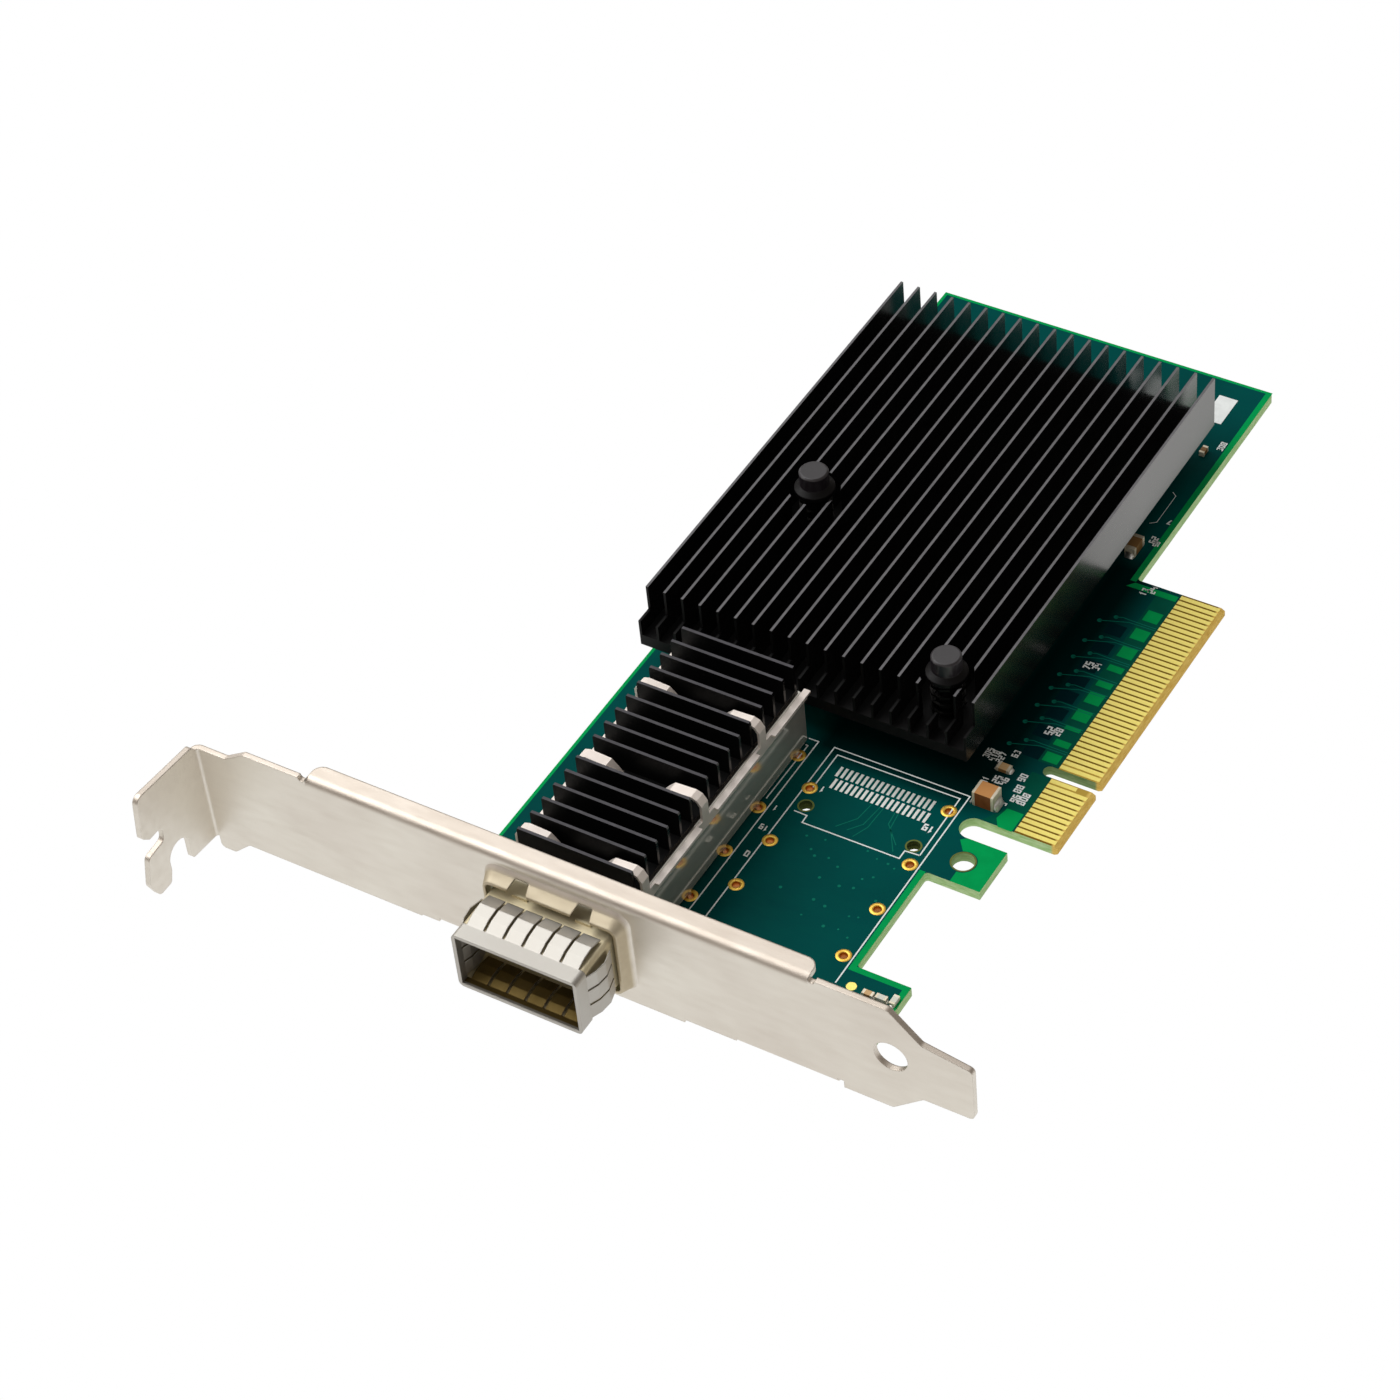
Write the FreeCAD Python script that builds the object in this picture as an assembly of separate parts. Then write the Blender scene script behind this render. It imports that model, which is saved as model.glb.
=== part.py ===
import FreeCAD, Part
import math
import os
from FreeCAD import Vector

# Network interface card: low-profile board on a full-height slot bracket, one quad module port.
# Frame: origin on the board's component face at the edge connector's lower edge, in the middle
# of the key notch. +X runs along the card away from the bracket, +Y from the connector towards
# the bracket's screw tab, +Z out of the component face. Millimetres.

# ---- board -------------------------------------------------------------------------------
BOARD_T = 1.57
BOARD_TOP = 68.9            # upper long edge
BOARD_FAR = 84.0            # short edge away from the bracket
SHOULDER = 13.7             # lower edge of the board beside the connector
LEG_RIGHT = -42.6           # leg beside the bracket
LEG_LOW = 5.6
HOOK_LEFT = -23.84          # retention hook between leg and connector
HOOK_RIGHT = -15.93
HOOK_HOLE = (-20.0, 10.1)
HOOK_HOLE_R = 1.6
EDGE_CORNER_R = 0.4
INNER_CORNER_R = 0.5        # routed inside corners beside the connector
BRACKET_GAP = 0.15          # board edge to bracket plate

# ---- edge connector ----------------------------------------------------------------------
PIN_PITCH = 1.0
SHORT_PINS = 11             # bracket side of the key
LONG_PINS = 38
KEY_W = 1.9
KEY_DEPTH = 8.4
KEY_TO_PIN = 1.5            # key centre to the first pin on each side
EDGE_MARGIN = 0.65          # last pin centre to the end of the connector
PIN_W = 0.7
PIN_END = 6.6
SHORT_PIN_BASE = 2.6        # presence pins start later
PIN_T = 0.05
BEVEL = 0.35
BEVEL_RUN = 0.55            # contacts start where the bevel ends
LATE_TOP = (10,)            # counted from the bracket end, pins that start later
LATE_UNDER = (0, 47)

# ---- bracket -----------------------------------------------------------------------------
SHEET = 0.86
PLATE_OUT = -58.01          # outer face of the plate
PLATE_HIGH = 14.54          # plate edge on the component side
PLATE_LOW = -4.4
TAB_OUT = 108.1             # outer face of the screw tab
BEND_R = 0.4                # inside bend radius
TAB_REACH = 13.59           # tab tip out from the plate's face
TAB_NECK = (-4.9, 12.3)     # width of the bend
TAB_HIGH = (13.3, 14.5)     # tab edge at the bend and at the tip
TAB_LOW = -4.4
TAB_EAR = -7.05             # plate shoulder below the tab
TAB_EAR_FROM = 104.4
TAB_NARROW = (99.2, 102.6)  # plate narrows from its full width to the bend
SLOT_OUT = 7.74             # slot centre out from the plate's face
SLOT_W = 4.42
SLOT_TOP = 1.1
NICK_Z = 4.9
NICK_W = 2.6
NICK_DEPTH = 3.7
FLANGE_FROM = 11.5
FLANGE_TO = 89.0
FLANGE_DEPTH = 3.4
FLANGE_END_R = 1.6
CORNER_R = 0.8              # blanked corners of the plate
LOWER_END = 101.6           # lower edge ends below the tab's shoulder
RELIEF_R = 0.55
TONGUE_ROOT = -4.6
TONGUE_TIP = -11.9
TONGUE_LOW = -0.4
TONGUE_W = 10.19
TONGUE_TAPER = (0.4, -0.9)  # wider at its root, narrower at its tip, on the component side
PLATE_END = 0.0             # where the plate narrows to the tongue
TAB_FINGER = 3.0            # finger beside the tab's nick
TAB_ROUND = 2.0             # tab corner into the slot
TAB_SKEW = 0.4              # tip corners set back or forward
TAB_POINT = 1.0             # the nick's two lips: one in from the tip, one beyond it
TAB_SOFT_R = 0.6            # corners of the tab, from the tightest
TAB_CORNER_R = 0.9
TAB_ROUND_R = 1.2
NICK_LIP = 1.3              # lip beside the nick
NICK_LIP_R = 0.3
PLATE_HOLE = (-0.1, 5.65)
PLATE_HOLE_R = 2.45
EAR_LENGTH = 10.2
EAR_OVERLAP = 0.4           # ear profile reaches this far past its bend into the plate
EAR_RELIEF = 1.0            # notch before each ear
EARS = ((8.2, 23.3, 10.6), (60.9, 69.9, 64.4))   # from, to, screw centre along Y
EDGE_STEPS = ((31.2, -3.85), (72.8, -4.1))       # raised edge after each ear: to this Y, at this Z
SCREW_IN = 7.11             # screw centre in from the plate's outer face
SCREW_R = 1.5
SCREW_CLEAR = 0.1           # round the screw in the board
SCREW_HEAD_R = 2.6
SCREW_HEAD_H = 1.6
RECESS = (2.6, 0.5, 0.7)    # cross recess: length, width, depth
BOSS_R = 3.0

# ---- module port -------------------------------------------------------------------------
PORT_Y = 49.3
CAGE_SIDE_GAP = 0.95        # cage wall to the connector inside
CAGE_HIGH = 9.8
CAGE_LOW = 0.1
PORT_REACH = 10.79          # mouth of the port out from the plate's face
CAGE_REAR = -10.0
CAGE_T = 0.25
CAGE_R = 0.7
SPARE_PITCH = 23.55         # first port to the unused port's footprint
HOLE_OUT = 0.02             # rows of press-fit holes outside the cage wall
LEFT_HOLES = (-17.3, -28.2, -37.2, -46.2)
RIGHT_HOLES = (-12.65, -23.6, -32.55, -41.7)
HOLE_R = 0.62
DRILL_SIDES = 12
LEG_W = 0.8
LEG_DROP = 2.6
PEG_X = -20.45
PEG_OUT = 0.05              # peg centre outside the connector's end
PEG_R = 0.85
PEG_CLEAR = 0.08
PEG_SHORT = 0.2             # pegs stop above the solder face
WINDOW_X = (-51.5, -15.5)   # cut-out in the cage roof for the heatsink's foot
WINDOW_MARGIN = 3.0
STOP_OUT = 1.6              # bent-up stops on the cage roof, under the notches, out from the plate
STOP_T = 0.35
STOP_W = 2.4
STOP_HIGH = 0.35

# ---- spring gasket round the mouth of the cage ---------------------------------------------
GASKET_T = 0.15
GASKET_BAND = 2.3
FINGER_LENGTH = 5.4
FINGER_BOW = 0.85
FINGER_GAP = 0.35
FINGER_FORM = ((0.0, 0.0), (0.28, 0.75), (0.62, 1.0), (1.0, 0.35))   # shares of length and bow
INNER_LENGTH = 4.2
INNER_BOW = 0.55
INNER_BAND = 1.1
FINGER_ROOT = 0.05          # fingers start inside their band
WIDE_FINGERS = 6
TALL_FINGERS = 3

# ---- bracket collar round the cage ----------------------------------------------------------
COLLAR_CLEAR = 0.4          # beside the cage
COLLAR_OVER = 1.15          # above the cage
COLLAR_BELOW = 0.8          # below the cage
COLLAR_RISE = 2.1           # lip in front of the plate
COLLAR_FLARE = (1.35, 1.9)  # root beyond the lip: beside and above
COLLAR_CURVE = (0.3, 0.42)  # share of the rise where the root has this share of the flare
COLLAR_R = 0.9
COLLAR_THIN = 0.5           # lip thickness as a share of the sheet
NOTCH_W = 3.2
NOTCH_RISE = 1.3            # above the lip's opening
NOTCH_SLOPE = 0.55
NOTCH_SPAN = 4.9            # port centre to each notch

# ---- heatsink on the cage -------------------------------------------------------------------
CAGE_FINS = 15
CAGE_FIN_T = 0.45
CAGE_FIN_PITCH = 2.83
CAGE_FIN_FIRST = -52.85
CAGE_FIN_TOP = 15.2
CAGE_FIN_INSET = 0.6        # fin ends inside the cage walls
CAGE_BASE_T = 1.0
FOOT_CLEAR = 0.4            # foot inside the roof window
FOOT_DROP = 0.6             # foot below the roof's outer face
STRAP_AFTER = {1: 3.25, 6: 4.36, 11: 3.24}   # wider gaps, after this fin, for the clip's straps
FIN_END_SLOPE = (0.12, 0.3)

# ---- spring clip over that heatsink ---------------------------------------------------------
CLIP_T = 0.35
STRAP_W = 1.6
STRAP_SHIFT = -0.35         # strap's middle from the middle of its gap
RAIL_LOW = 8.6
RAIL_OVER = 1.2             # rail beyond the end fins
RAIL_TOP = 10.35
RAIL_LIP = 0.65             # the rail's top edge turned outward between the straps
RAIL_LIP_GAP = 1.2          # lip's end to the strap
STRAP_LINE = ((0.0, 9.6), (0.0, 12.9), (-0.6, 13.8), (-1.4, 14.1), (-4.6, 13.9), (-5.6, 12.9),
              (-6.8, 11.4))   # from the rail to the middle, out from the cage wall and Z

# ---- main heatsink -------------------------------------------------------------------------
SINK_FINS = 19
SINK_FIN_T = 0.38
SINK_FIN_PITCH = 2.853
SINK_FIN_LOW = 16.1         # centre of the fin nearest the edge connector
SINK_FAR = 68.6
SINK_NEAR = -5.1            # front of the upper fins
SINK_STEP = 2.7             # lower fins and base reach further forward
SINK_STEP_Z = 9.7
SINK_TOP = 14.0
SINK_BASE = (5.2, 7.1)
FOOT = 24.0                 # raised pad over the controller
CHIP_LID_Z = 2.9
CHIP = 27.0
CHIP_LID = 22.0
CHIP_SUBSTRATE_Z = 1.4
PAD_T = 0.5
PAD_MARGIN = 0.6

# ---- push pins -------------------------------------------------------------------------------
PINS = {"front": (-1.45, 22.0), "rear": (23.0, 56.5)}
PIN_HEAD_R = 2.15
PIN_HEAD_TOP = 17.3
PIN_CAP_R = 2.95
PIN_CAP_Z = (13.7, 14.35)
PIN_CAP_SLOPE = 0.6         # the cap's upper side climbs to the head
PIN_SHAFT_R = 1.45
PIN_HOLE_R = 1.6
PIN_BARB_R = 2.0
PIN_BARB_H = 0.3            # ledge under the board
PIN_TIP_R = 0.9
PIN_TIP_Z = -4.3
PIN_HEAD_CHAMFER = 0.25
PIN_SPLIT = 0.6
PIN_SPLIT_TOP = 1.0
PIN_SINK_CLEAR = 0.1        # shaft hole in the heatsink base beyond the board's
POCKET_R = 3.72
SPRING_R = 2.3
SPRING_WIRE = 0.4           # square section
SPRING_TURNS = 4
SPRING_STEPS = 10           # sections per turn
SPRING_SLACK = 0.1          # below the cap

# ---- module connector ------------------------------------------------------------------------
CONTACT_PITCH = 0.8
CONTACT_COUNT = 19
PAD_ROWS = (-12.85, -15.15)
PAD_LENGTH = 1.9
PAD_W = 0.42
CONNECTOR_X = (-24.0, -14.2)
CONTACT_MARGIN = 1.1        # last contact to the end of the connector
CONNECTOR_Z = (0.2, 1.2, 6.6)     # foot, underside of the nose, top
CONNECTOR_NOSE = 3.0
CONNECTOR_CHAMFER = 1.0
CARD_SLOT = (2.75, 5.45)
CARD_SLOT_DEPTH = 6.0
CARD_SLOT_WALL = 0.9
CONTACT_W = 0.28
CONTACT_X = (0.4, 1.2, 2.0, 5.3)  # root, tip from, tip to, root, from the nose
CONTACT_REACH = 0.8

# ---- small parts -----------------------------------------------------------------------------
CHIP_0402 = (1.0, 0.5, 0.5)       # length, width, height
CHIP_0603 = (1.6, 0.8, 0.8)
CHIP_0805 = (2.0, 1.25, 0.6)
CHIP_1206 = (3.2, 1.6, 1.6)
CHIP_1210 = (3.2, 2.5, 2.5)
LED = (1.6, 0.8, 0.7)
BULK_CAP = (-8.9, 12.4)
LARGE_CAP = (44.6, 16.9)
SMALL_CAP = (67.6, 17.1)
RESISTORS = ((-2.4, 13.2, CHIP_0805), (-46.4, 9.9, CHIP_0603))
LED_ACROSS = (-46.2, 8.05)
LED_ALONG = (-45.8, 6.35)
FLASH = (38.0, 26.0)
FLASH_BODY = (4.9, 3.9)
FLASH_Z = (0.15, 1.7)
FLASH_SPAN = 6.0
FLASH_LEAD = (0.4, 0.35, 1.27)    # width, thickness, pitch
CRYSTAL = (37.0, 58.0)
CRYSTAL_BODY = (3.2, 2.5, 0.8)
INDUCTORS = ((50.0, 30.0), (50.0, 46.0))
INDUCTOR_BODY = (6.6, 6.6, 4.0)
REGULATORS = ((59.5, 30.0), (59.5, 46.0))
REGULATOR_BODY = (5.0, 5.0, 0.9)
DECOUPLING = 4                    # rows and columns under the controller
DECOUPLING_PITCH = 3.6

# ---- derived -----------------------------------------------------------------------------------
PLATE_IN = PLATE_OUT + SHEET
BOARD_NEAR = PLATE_IN + BRACKET_GAP
TAB_TIP = PLATE_OUT - TAB_REACH
SLOT_X = PLATE_OUT - SLOT_OUT
SCREW_X = PLATE_OUT + SCREW_IN
CAGE_FRONT = PLATE_OUT - PORT_REACH
STOP_X = PLATE_OUT - STOP_OUT
SHORT_END = -(KEY_TO_PIN + (SHORT_PINS - 1) * PIN_PITCH + EDGE_MARGIN)
LONG_END = KEY_TO_PIN + (LONG_PINS - 1) * PIN_PITCH + EDGE_MARGIN
CONNECTOR_W = (CONTACT_COUNT - 1) * CONTACT_PITCH + 2 * CONTACT_MARGIN
CAGE_SIDE = CONNECTOR_W / 2 + CAGE_SIDE_GAP + CAGE_T
CAGE_FIN_SPAN = CAGE_SIDE - CAGE_FIN_INSET
HOLE_ROW = CAGE_SIDE + HOLE_OUT
PEG_SPAN = CONNECTOR_W / 2 + PEG_OUT
SPARE_Y = PORT_Y - SPARE_PITCH
NOTCH_CENTRES = (PORT_Y - NOTCH_SPAN, PORT_Y + NOTCH_SPAN)
CHIP_AT = tuple((PINS["front"][i] + PINS["rear"][i]) / 2 for i in (0, 1))
SOLDER = -BOARD_T
FOLD = SHEET + BEND_R       # outside bend radius
HAIR = 0.01                 # keeps the ends of a full half circle apart


def flat(u, v):
    return Vector(u, v, 0)


def upright(u, v):
    return Vector(0, u, v)


def lengthwise(u, v):
    return Vector(u, 0, v)


def ring(points, lift=flat):
    """Closed wire through (u, v) corners; a third value rounds that corner."""
    corners = [lift(p[0], p[1]) for p in points]
    spans = []
    for i, p in enumerate(points):
        here = corners[i]
        radius = p[2] if len(p) > 2 else 0
        if not radius:
            spans.append((here, None, here))
            continue
        back = (corners[i - 1] - here).normalize()
        ahead = (corners[(i + 1) % len(corners)] - here).normalize()
        half = back.getAngle(ahead) / 2
        run = radius / math.tan(half)
        inward = (back + ahead).normalize()
        middle = here + inward * (radius / math.sin(half) - radius)
        spans.append((here + back * run, middle, here + ahead * run))
    edges = []
    for i, (start, middle, end) in enumerate(spans):
        if middle:
            edges.append(Part.Arc(start, middle, end).toShape())
        following = spans[(i + 1) % len(spans)][0]
        if (following - end).Length > 1e-6:
            edges.append(Part.makeLine(end, following))
    return Part.Wire(edges)


def slab(points, low, high, lift=flat):
    """Solid from a corner list, spanning low to high across the lift's plane."""
    normal = {flat: Vector(0, 0, 1), upright: Vector(1, 0, 0), lengthwise: Vector(0, 1, 0)}[lift]
    face = Part.Face(ring(points, lift))
    face.translate(normal * low)
    return face.extrude(normal * (high - low))


def block(x0, x1, y0, y1, z0, z1):
    return Part.makeBox(x1 - x0, y1 - y0, z1 - z0, Vector(x0, y0, z0))


def rod(radius, x, y, low, high):
    return Part.makeCylinder(radius, high - low, Vector(x, y, low))


def folded(line, thickness):
    """Corner list of a strip of even thickness that follows an open (u, v) line."""
    points = [Vector(u, v, 0) for u, v in line]
    runs = [(b - a).normalize() for a, b in zip(points, points[1:])]
    near, far = [], []
    for point, before, after in zip(points, runs[:1] + runs, runs + runs[-1:]):
        across = Vector(-before.y - after.y, before.x + after.x, 0).normalize()
        reach = across * (thickness / 2 / (across.y * before.x - across.x * before.y))
        near.append(tuple(point + reach)[:2])
        far.append(tuple(point - reach)[:2])
    return near + far[::-1]


def drill(radius, x, y, low, high):
    """Small drilled hole or peg, with flats in place of a round wall."""
    corners = []
    for i in range(DRILL_SIDES):
        angle = 2 * math.pi * i / DRILL_SIDES
        corners.append((x + radius * math.cos(angle), y + radius * math.sin(angle)))
    return slab(corners, low, high)


def turned(profile, x, y):
    """Solid of revolution about a vertical axis from (radius, height) corners."""
    face = Part.Face(ring(profile, lengthwise))
    solid = face.revolve(Vector(0, 0, 0), Vector(0, 0, 1), 360)
    solid.translate(Vector(x, y, 0))
    return solid


def joined(shapes):
    whole = shapes[0].fuse(shapes[1:]) if len(shapes) > 1 else shapes[0]
    return whole.removeSplitter()


def group(shapes):
    return Part.makeCompound(shapes)


def frame_rect(half_w, low, high, radius, centre=PORT_Y):
    """Corner list of a rounded rectangle in the upright plane."""
    return [(centre - half_w, low, radius), (centre + half_w, low, radius),
            (centre + half_w, high, radius), (centre - half_w, high, radius)]


def box_at(x, y, size, low=0.0):
    """Plain block centred on a position, its underside at low."""
    length, width, height = size
    return block(x - length / 2, x + length / 2, y - width / 2, y + width / 2, low, low + height)


def press_fit_holes(port_y):
    left = [(x, port_y + HOLE_ROW) for x in LEFT_HOLES]
    right = [(x, port_y - HOLE_ROW) for x in RIGHT_HOLES]
    return left + right


# ---- board ---------------------------------------------------------------------------------------
def make_board():
    slot_r = (SHORT_END - HOOK_RIGHT) / 2
    key_r = KEY_W / 2 - HAIR
    outline = [
        (BOARD_NEAR, BOARD_TOP, EDGE_CORNER_R), (BOARD_NEAR, LEG_LOW), (LEG_RIGHT, LEG_LOW),
        (LEG_RIGHT, SHOULDER, INNER_CORNER_R), (HOOK_LEFT, SHOULDER, INNER_CORNER_R), (HOOK_LEFT, LEG_LOW),
        (HOOK_RIGHT, LEG_LOW), (HOOK_RIGHT, SHOULDER, slot_r - HAIR),
        (SHORT_END, SHOULDER, slot_r - HAIR), (SHORT_END, 0), (-KEY_W / 2, 0),
        (-KEY_W / 2, KEY_DEPTH, key_r), (KEY_W / 2, KEY_DEPTH, key_r), (KEY_W / 2, 0),
        (LONG_END, 0), (LONG_END, SHOULDER, INNER_CORNER_R), (BOARD_FAR, SHOULDER, EDGE_CORNER_R),
        (BOARD_FAR, BOARD_TOP, EDGE_CORNER_R)]
    board = slab(outline, SOLDER, 0)
    drills = [rod(HOOK_HOLE_R, *HOOK_HOLE, SOLDER, 0)]
    for port_y in (PORT_Y, SPARE_Y):
        drills += [drill(HOLE_R, x, y, SOLDER, 0) for x, y in press_fit_holes(port_y)]
        drills += [drill(PEG_R + PEG_CLEAR, PEG_X, port_y + side * PEG_SPAN, SOLDER, 0)
                   for side in (-1, 1)]
    drills += [rod(PIN_HOLE_R, x, y, SOLDER, 0) for x, y in PINS.values()]
    drills += [rod(SCREW_R + SCREW_CLEAR, SCREW_X, y, SOLDER, 0) for _, _, y in EARS]
    board = board.cut(drills)
    bevels = []
    for z, inward in ((0, -1), (SOLDER, 1)):
        wedge = Part.Face(Part.makePolygon([
            Vector(SHORT_END, 0, z), Vector(SHORT_END, 0, z + inward * BEVEL),
            Vector(SHORT_END, BEVEL_RUN, z), Vector(SHORT_END, 0, z)]))
        bevels.append(wedge.extrude(Vector(LONG_END - SHORT_END, 0, 0)))
    return board.cut(bevels)


def pin_centres():
    short = [-(KEY_TO_PIN + i * PIN_PITCH) for i in range(SHORT_PINS)]
    long = [KEY_TO_PIN + i * PIN_PITCH for i in range(LONG_PINS)]
    return short[::-1] + long


def make_edge_contacts(low, high, late):
    """Gold fingers on one face; the pins counted in late start further from the edge."""
    fingers = []
    for number, x in enumerate(pin_centres()):
        start = SHORT_PIN_BASE if number in late else BEVEL_RUN
        fingers.append(block(x - PIN_W / 2, x + PIN_W / 2, start, PIN_END, low, high))
    return group(fingers)


def make_spare_pads():
    """Bare solder lands of the unused port: two staggered rows."""
    pads = []
    for row, x in enumerate(PAD_ROWS):
        for i in range(CONTACT_COUNT):
            y = SPARE_Y + ((CONTACT_COUNT - 1) / 2 - i) * CONTACT_PITCH
            y += CONTACT_PITCH / 4 * (1 - 2 * row)
            pads.append(block(x - PAD_LENGTH / 2, x + PAD_LENGTH / 2,
                              y - PAD_W / 2, y + PAD_W / 2, 0, PIN_T))
    return group(pads)


# ---- bracket ---------------------------------------------------------------------------------------
def bracket_plate():
    """Flat plate with its tongue, tab shoulder, hole and the opening for the cage."""
    high = PLATE_HIGH
    bend = TAB_OUT - FOLD
    narrow, neck = TAB_NARROW
    tongue_high = TONGUE_LOW + TONGUE_W
    low, root = PLATE_LOW, PLATE_LOW + FOLD
    plate = [(TONGUE_TIP, TONGUE_LOW, CORNER_R), (TONGUE_ROOT, TONGUE_LOW, CORNER_R),
             (PLATE_END, low, CORNER_R)]
    for (y0, y1, _), (step_to, step_z) in zip(EARS, EDGE_STEPS):
        plate += [(y0 - EAR_RELIEF, low), (y0 - EAR_RELIEF, root), (y1, root),
                  (y1, step_z), (step_to, step_z), (step_to, low)]
    plate += [
        (LOWER_END, low, CORNER_R), (TAB_EAR_FROM, TAB_EAR, CORNER_R), (bend, TAB_EAR, CORNER_R),
        (bend, TAB_NECK[1]), (neck, TAB_NECK[1], CORNER_R), (narrow, high, CORNER_R), (FLANGE_TO, high),
        (FLANGE_TO, high - FOLD), (FLANGE_FROM, high - FOLD), (FLANGE_FROM, high),
        (PLATE_END, high, CORNER_R), (TONGUE_ROOT, tongue_high + TONGUE_TAPER[0], CORNER_R),
        (TONGUE_TIP, tongue_high + TONGUE_TAPER[1], CORNER_R)]
    body = slab(plate, PLATE_OUT, PLATE_IN, upright)
    along = Vector(1, 0, 0)
    hole = Part.makeCylinder(PLATE_HOLE_R, SHEET, Vector(PLATE_OUT, *PLATE_HOLE), along)
    reliefs = [Part.makeCylinder(RELIEF_R, SHEET, Vector(PLATE_OUT, y, high), along)
               for y in (FLANGE_FROM - RELIEF_R, FLANGE_TO + RELIEF_R)]
    return body.cut([hole] + reliefs)


def bracket_flange():
    """Stiffening flange folded back over the board along the plate's component-side edge."""
    reach = PLATE_OUT + FLANGE_DEPTH
    root = PLATE_HIGH - FOLD
    profile = [(PLATE_OUT, root), (PLATE_OUT, PLATE_HIGH, FOLD), (reach, PLATE_HIGH),
               (reach, PLATE_HIGH - SHEET), (PLATE_IN, PLATE_HIGH - SHEET, BEND_R), (PLATE_IN, root)]
    flange = slab(profile, FLANGE_FROM, FLANGE_TO, lengthwise)
    keep = slab([(PLATE_OUT, FLANGE_FROM), (reach, FLANGE_FROM, FLANGE_END_R),
                 (reach, FLANGE_TO, FLANGE_END_R), (PLATE_OUT, FLANGE_TO)], root, PLATE_HIGH)
    return flange.common(keep)


def bracket_tab():
    """Screw tab bent outward at the top, with its open slot, its nick and the finger beside it."""
    inner = TAB_OUT - SHEET
    start = PLATE_OUT - BEND_R
    low, high = TAB_NECK
    bend = [(PLATE_IN, TAB_OUT - FOLD), (PLATE_IN, TAB_OUT, FOLD), (start, TAB_OUT),
            (start, inner), (PLATE_OUT, inner, BEND_R), (PLATE_OUT, TAB_OUT - FOLD)]
    strip = slab(bend, low, high)
    slot_r = SLOT_W / 2
    slot_near = SLOT_X + slot_r
    slot_far = SLOT_X - slot_r
    nick_x = TAB_TIP + NICK_DEPTH
    nick_low, nick_high = NICK_Z - NICK_W / 2, NICK_Z + NICK_W / 2
    outline = [
        (start, low), (start, high), (start - TAB_SOFT_R, TAB_HIGH[0], TAB_SOFT_R),
        (TAB_TIP + TAB_SKEW, TAB_HIGH[1], TAB_ROUND_R),
        (TAB_TIP - TAB_SKEW, nick_high + NICK_LIP, TAB_CORNER_R),
        (TAB_TIP + TAB_POINT, nick_high, NICK_LIP_R), (nick_x, nick_high, TAB_CORNER_R),
        (nick_x, nick_low, TAB_CORNER_R), (TAB_TIP, nick_low - NICK_LIP_R, TAB_CORNER_R),
        (TAB_TIP - TAB_POINT, TAB_LOW + TAB_FINGER, TAB_ROUND_R),
        (TAB_TIP + TAB_SKEW, TAB_LOW, TAB_CORNER_R),
        (slot_far - TAB_SOFT_R, TAB_LOW, TAB_SOFT_R),
        (slot_far, TAB_LOW + TAB_ROUND, TAB_CORNER_R), (slot_far, SLOT_TOP, slot_r - HAIR),
        (slot_near, SLOT_TOP, slot_r - HAIR), (slot_near, TAB_LOW, TAB_SOFT_R)]
    face = Part.Face(ring(outline, lengthwise))
    face.translate(Vector(0, inner, 0))
    return strip.fuse(face.extrude(Vector(0, SHEET, 0)))


def bracket_ear(y0, y1, screw_y):
    """Mounting ear folded under the board, with a boss that meets the solder face."""
    low = PLATE_LOW
    reach = PLATE_OUT + EAR_LENGTH
    root = low + FOLD + EAR_OVERLAP
    profile = [(PLATE_OUT, root), (PLATE_OUT, low, FOLD), (reach, low), (reach, low + SHEET),
               (PLATE_IN, low + SHEET, BEND_R), (PLATE_IN, root)]
    ear = slab(profile, y0, y1, lengthwise)
    boss = rod(BOSS_R, SCREW_X, screw_y, low, SOLDER)
    return ear.fuse(boss).cut(rod(SCREW_R, SCREW_X, screw_y, low, SOLDER))


def bracket_collar():
    """Rim drawn outward round the cage, and the opening it leaves in the plate."""
    half = CAGE_SIDE + COLLAR_CLEAR
    low, high = CAGE_LOW - COLLAR_BELOW, CAGE_HIGH + COLLAR_OVER
    rim = SHEET * COLLAR_THIN
    beside, above = COLLAR_FLARE
    early, share = COLLAR_CURVE
    knee = PLATE_OUT - early * COLLAR_RISE
    front = PLATE_OUT - COLLAR_RISE

    def section(x, flare, wall):
        side, top = flare * beside + wall, flare * above + wall
        wire = ring(frame_rect(half + side, low - side, high + top, COLLAR_R + side), upright)
        wire.translate(Vector(x, 0, 0))
        return wire

    def loft(*stations):
        return Part.makeLoft([section(*station) for station in stations], True, True)

    outer = loft((PLATE_IN, 1, rim), (PLATE_OUT, 1, 0), (knee, share, rim), (front, 0, rim))
    inner = loft((PLATE_IN, 1, -rim), (PLATE_OUT, share, 0), (front, 0, 0))
    return outer, inner


def make_bracket():
    outer, inner = bracket_collar()
    shape = bracket_plate().fuse([bracket_flange(), bracket_tab(), outer])
    opening = CAGE_HIGH + COLLAR_OVER
    wide, narrow = NOTCH_W / 2, NOTCH_W / 2 - NOTCH_SLOPE
    notches = [slab([(y - wide, CAGE_HIGH), (y + wide, CAGE_HIGH), (y + wide, opening),
                     (y + narrow, opening + NOTCH_RISE), (y - narrow, opening + NOTCH_RISE),
                     (y - wide, opening)],
                    PLATE_OUT - COLLAR_RISE, PLATE_IN, upright) for y in NOTCH_CENTRES]
    shape = shape.cut([inner] + notches)
    return joined([shape] + [bracket_ear(*ear) for ear in EARS])


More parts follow.
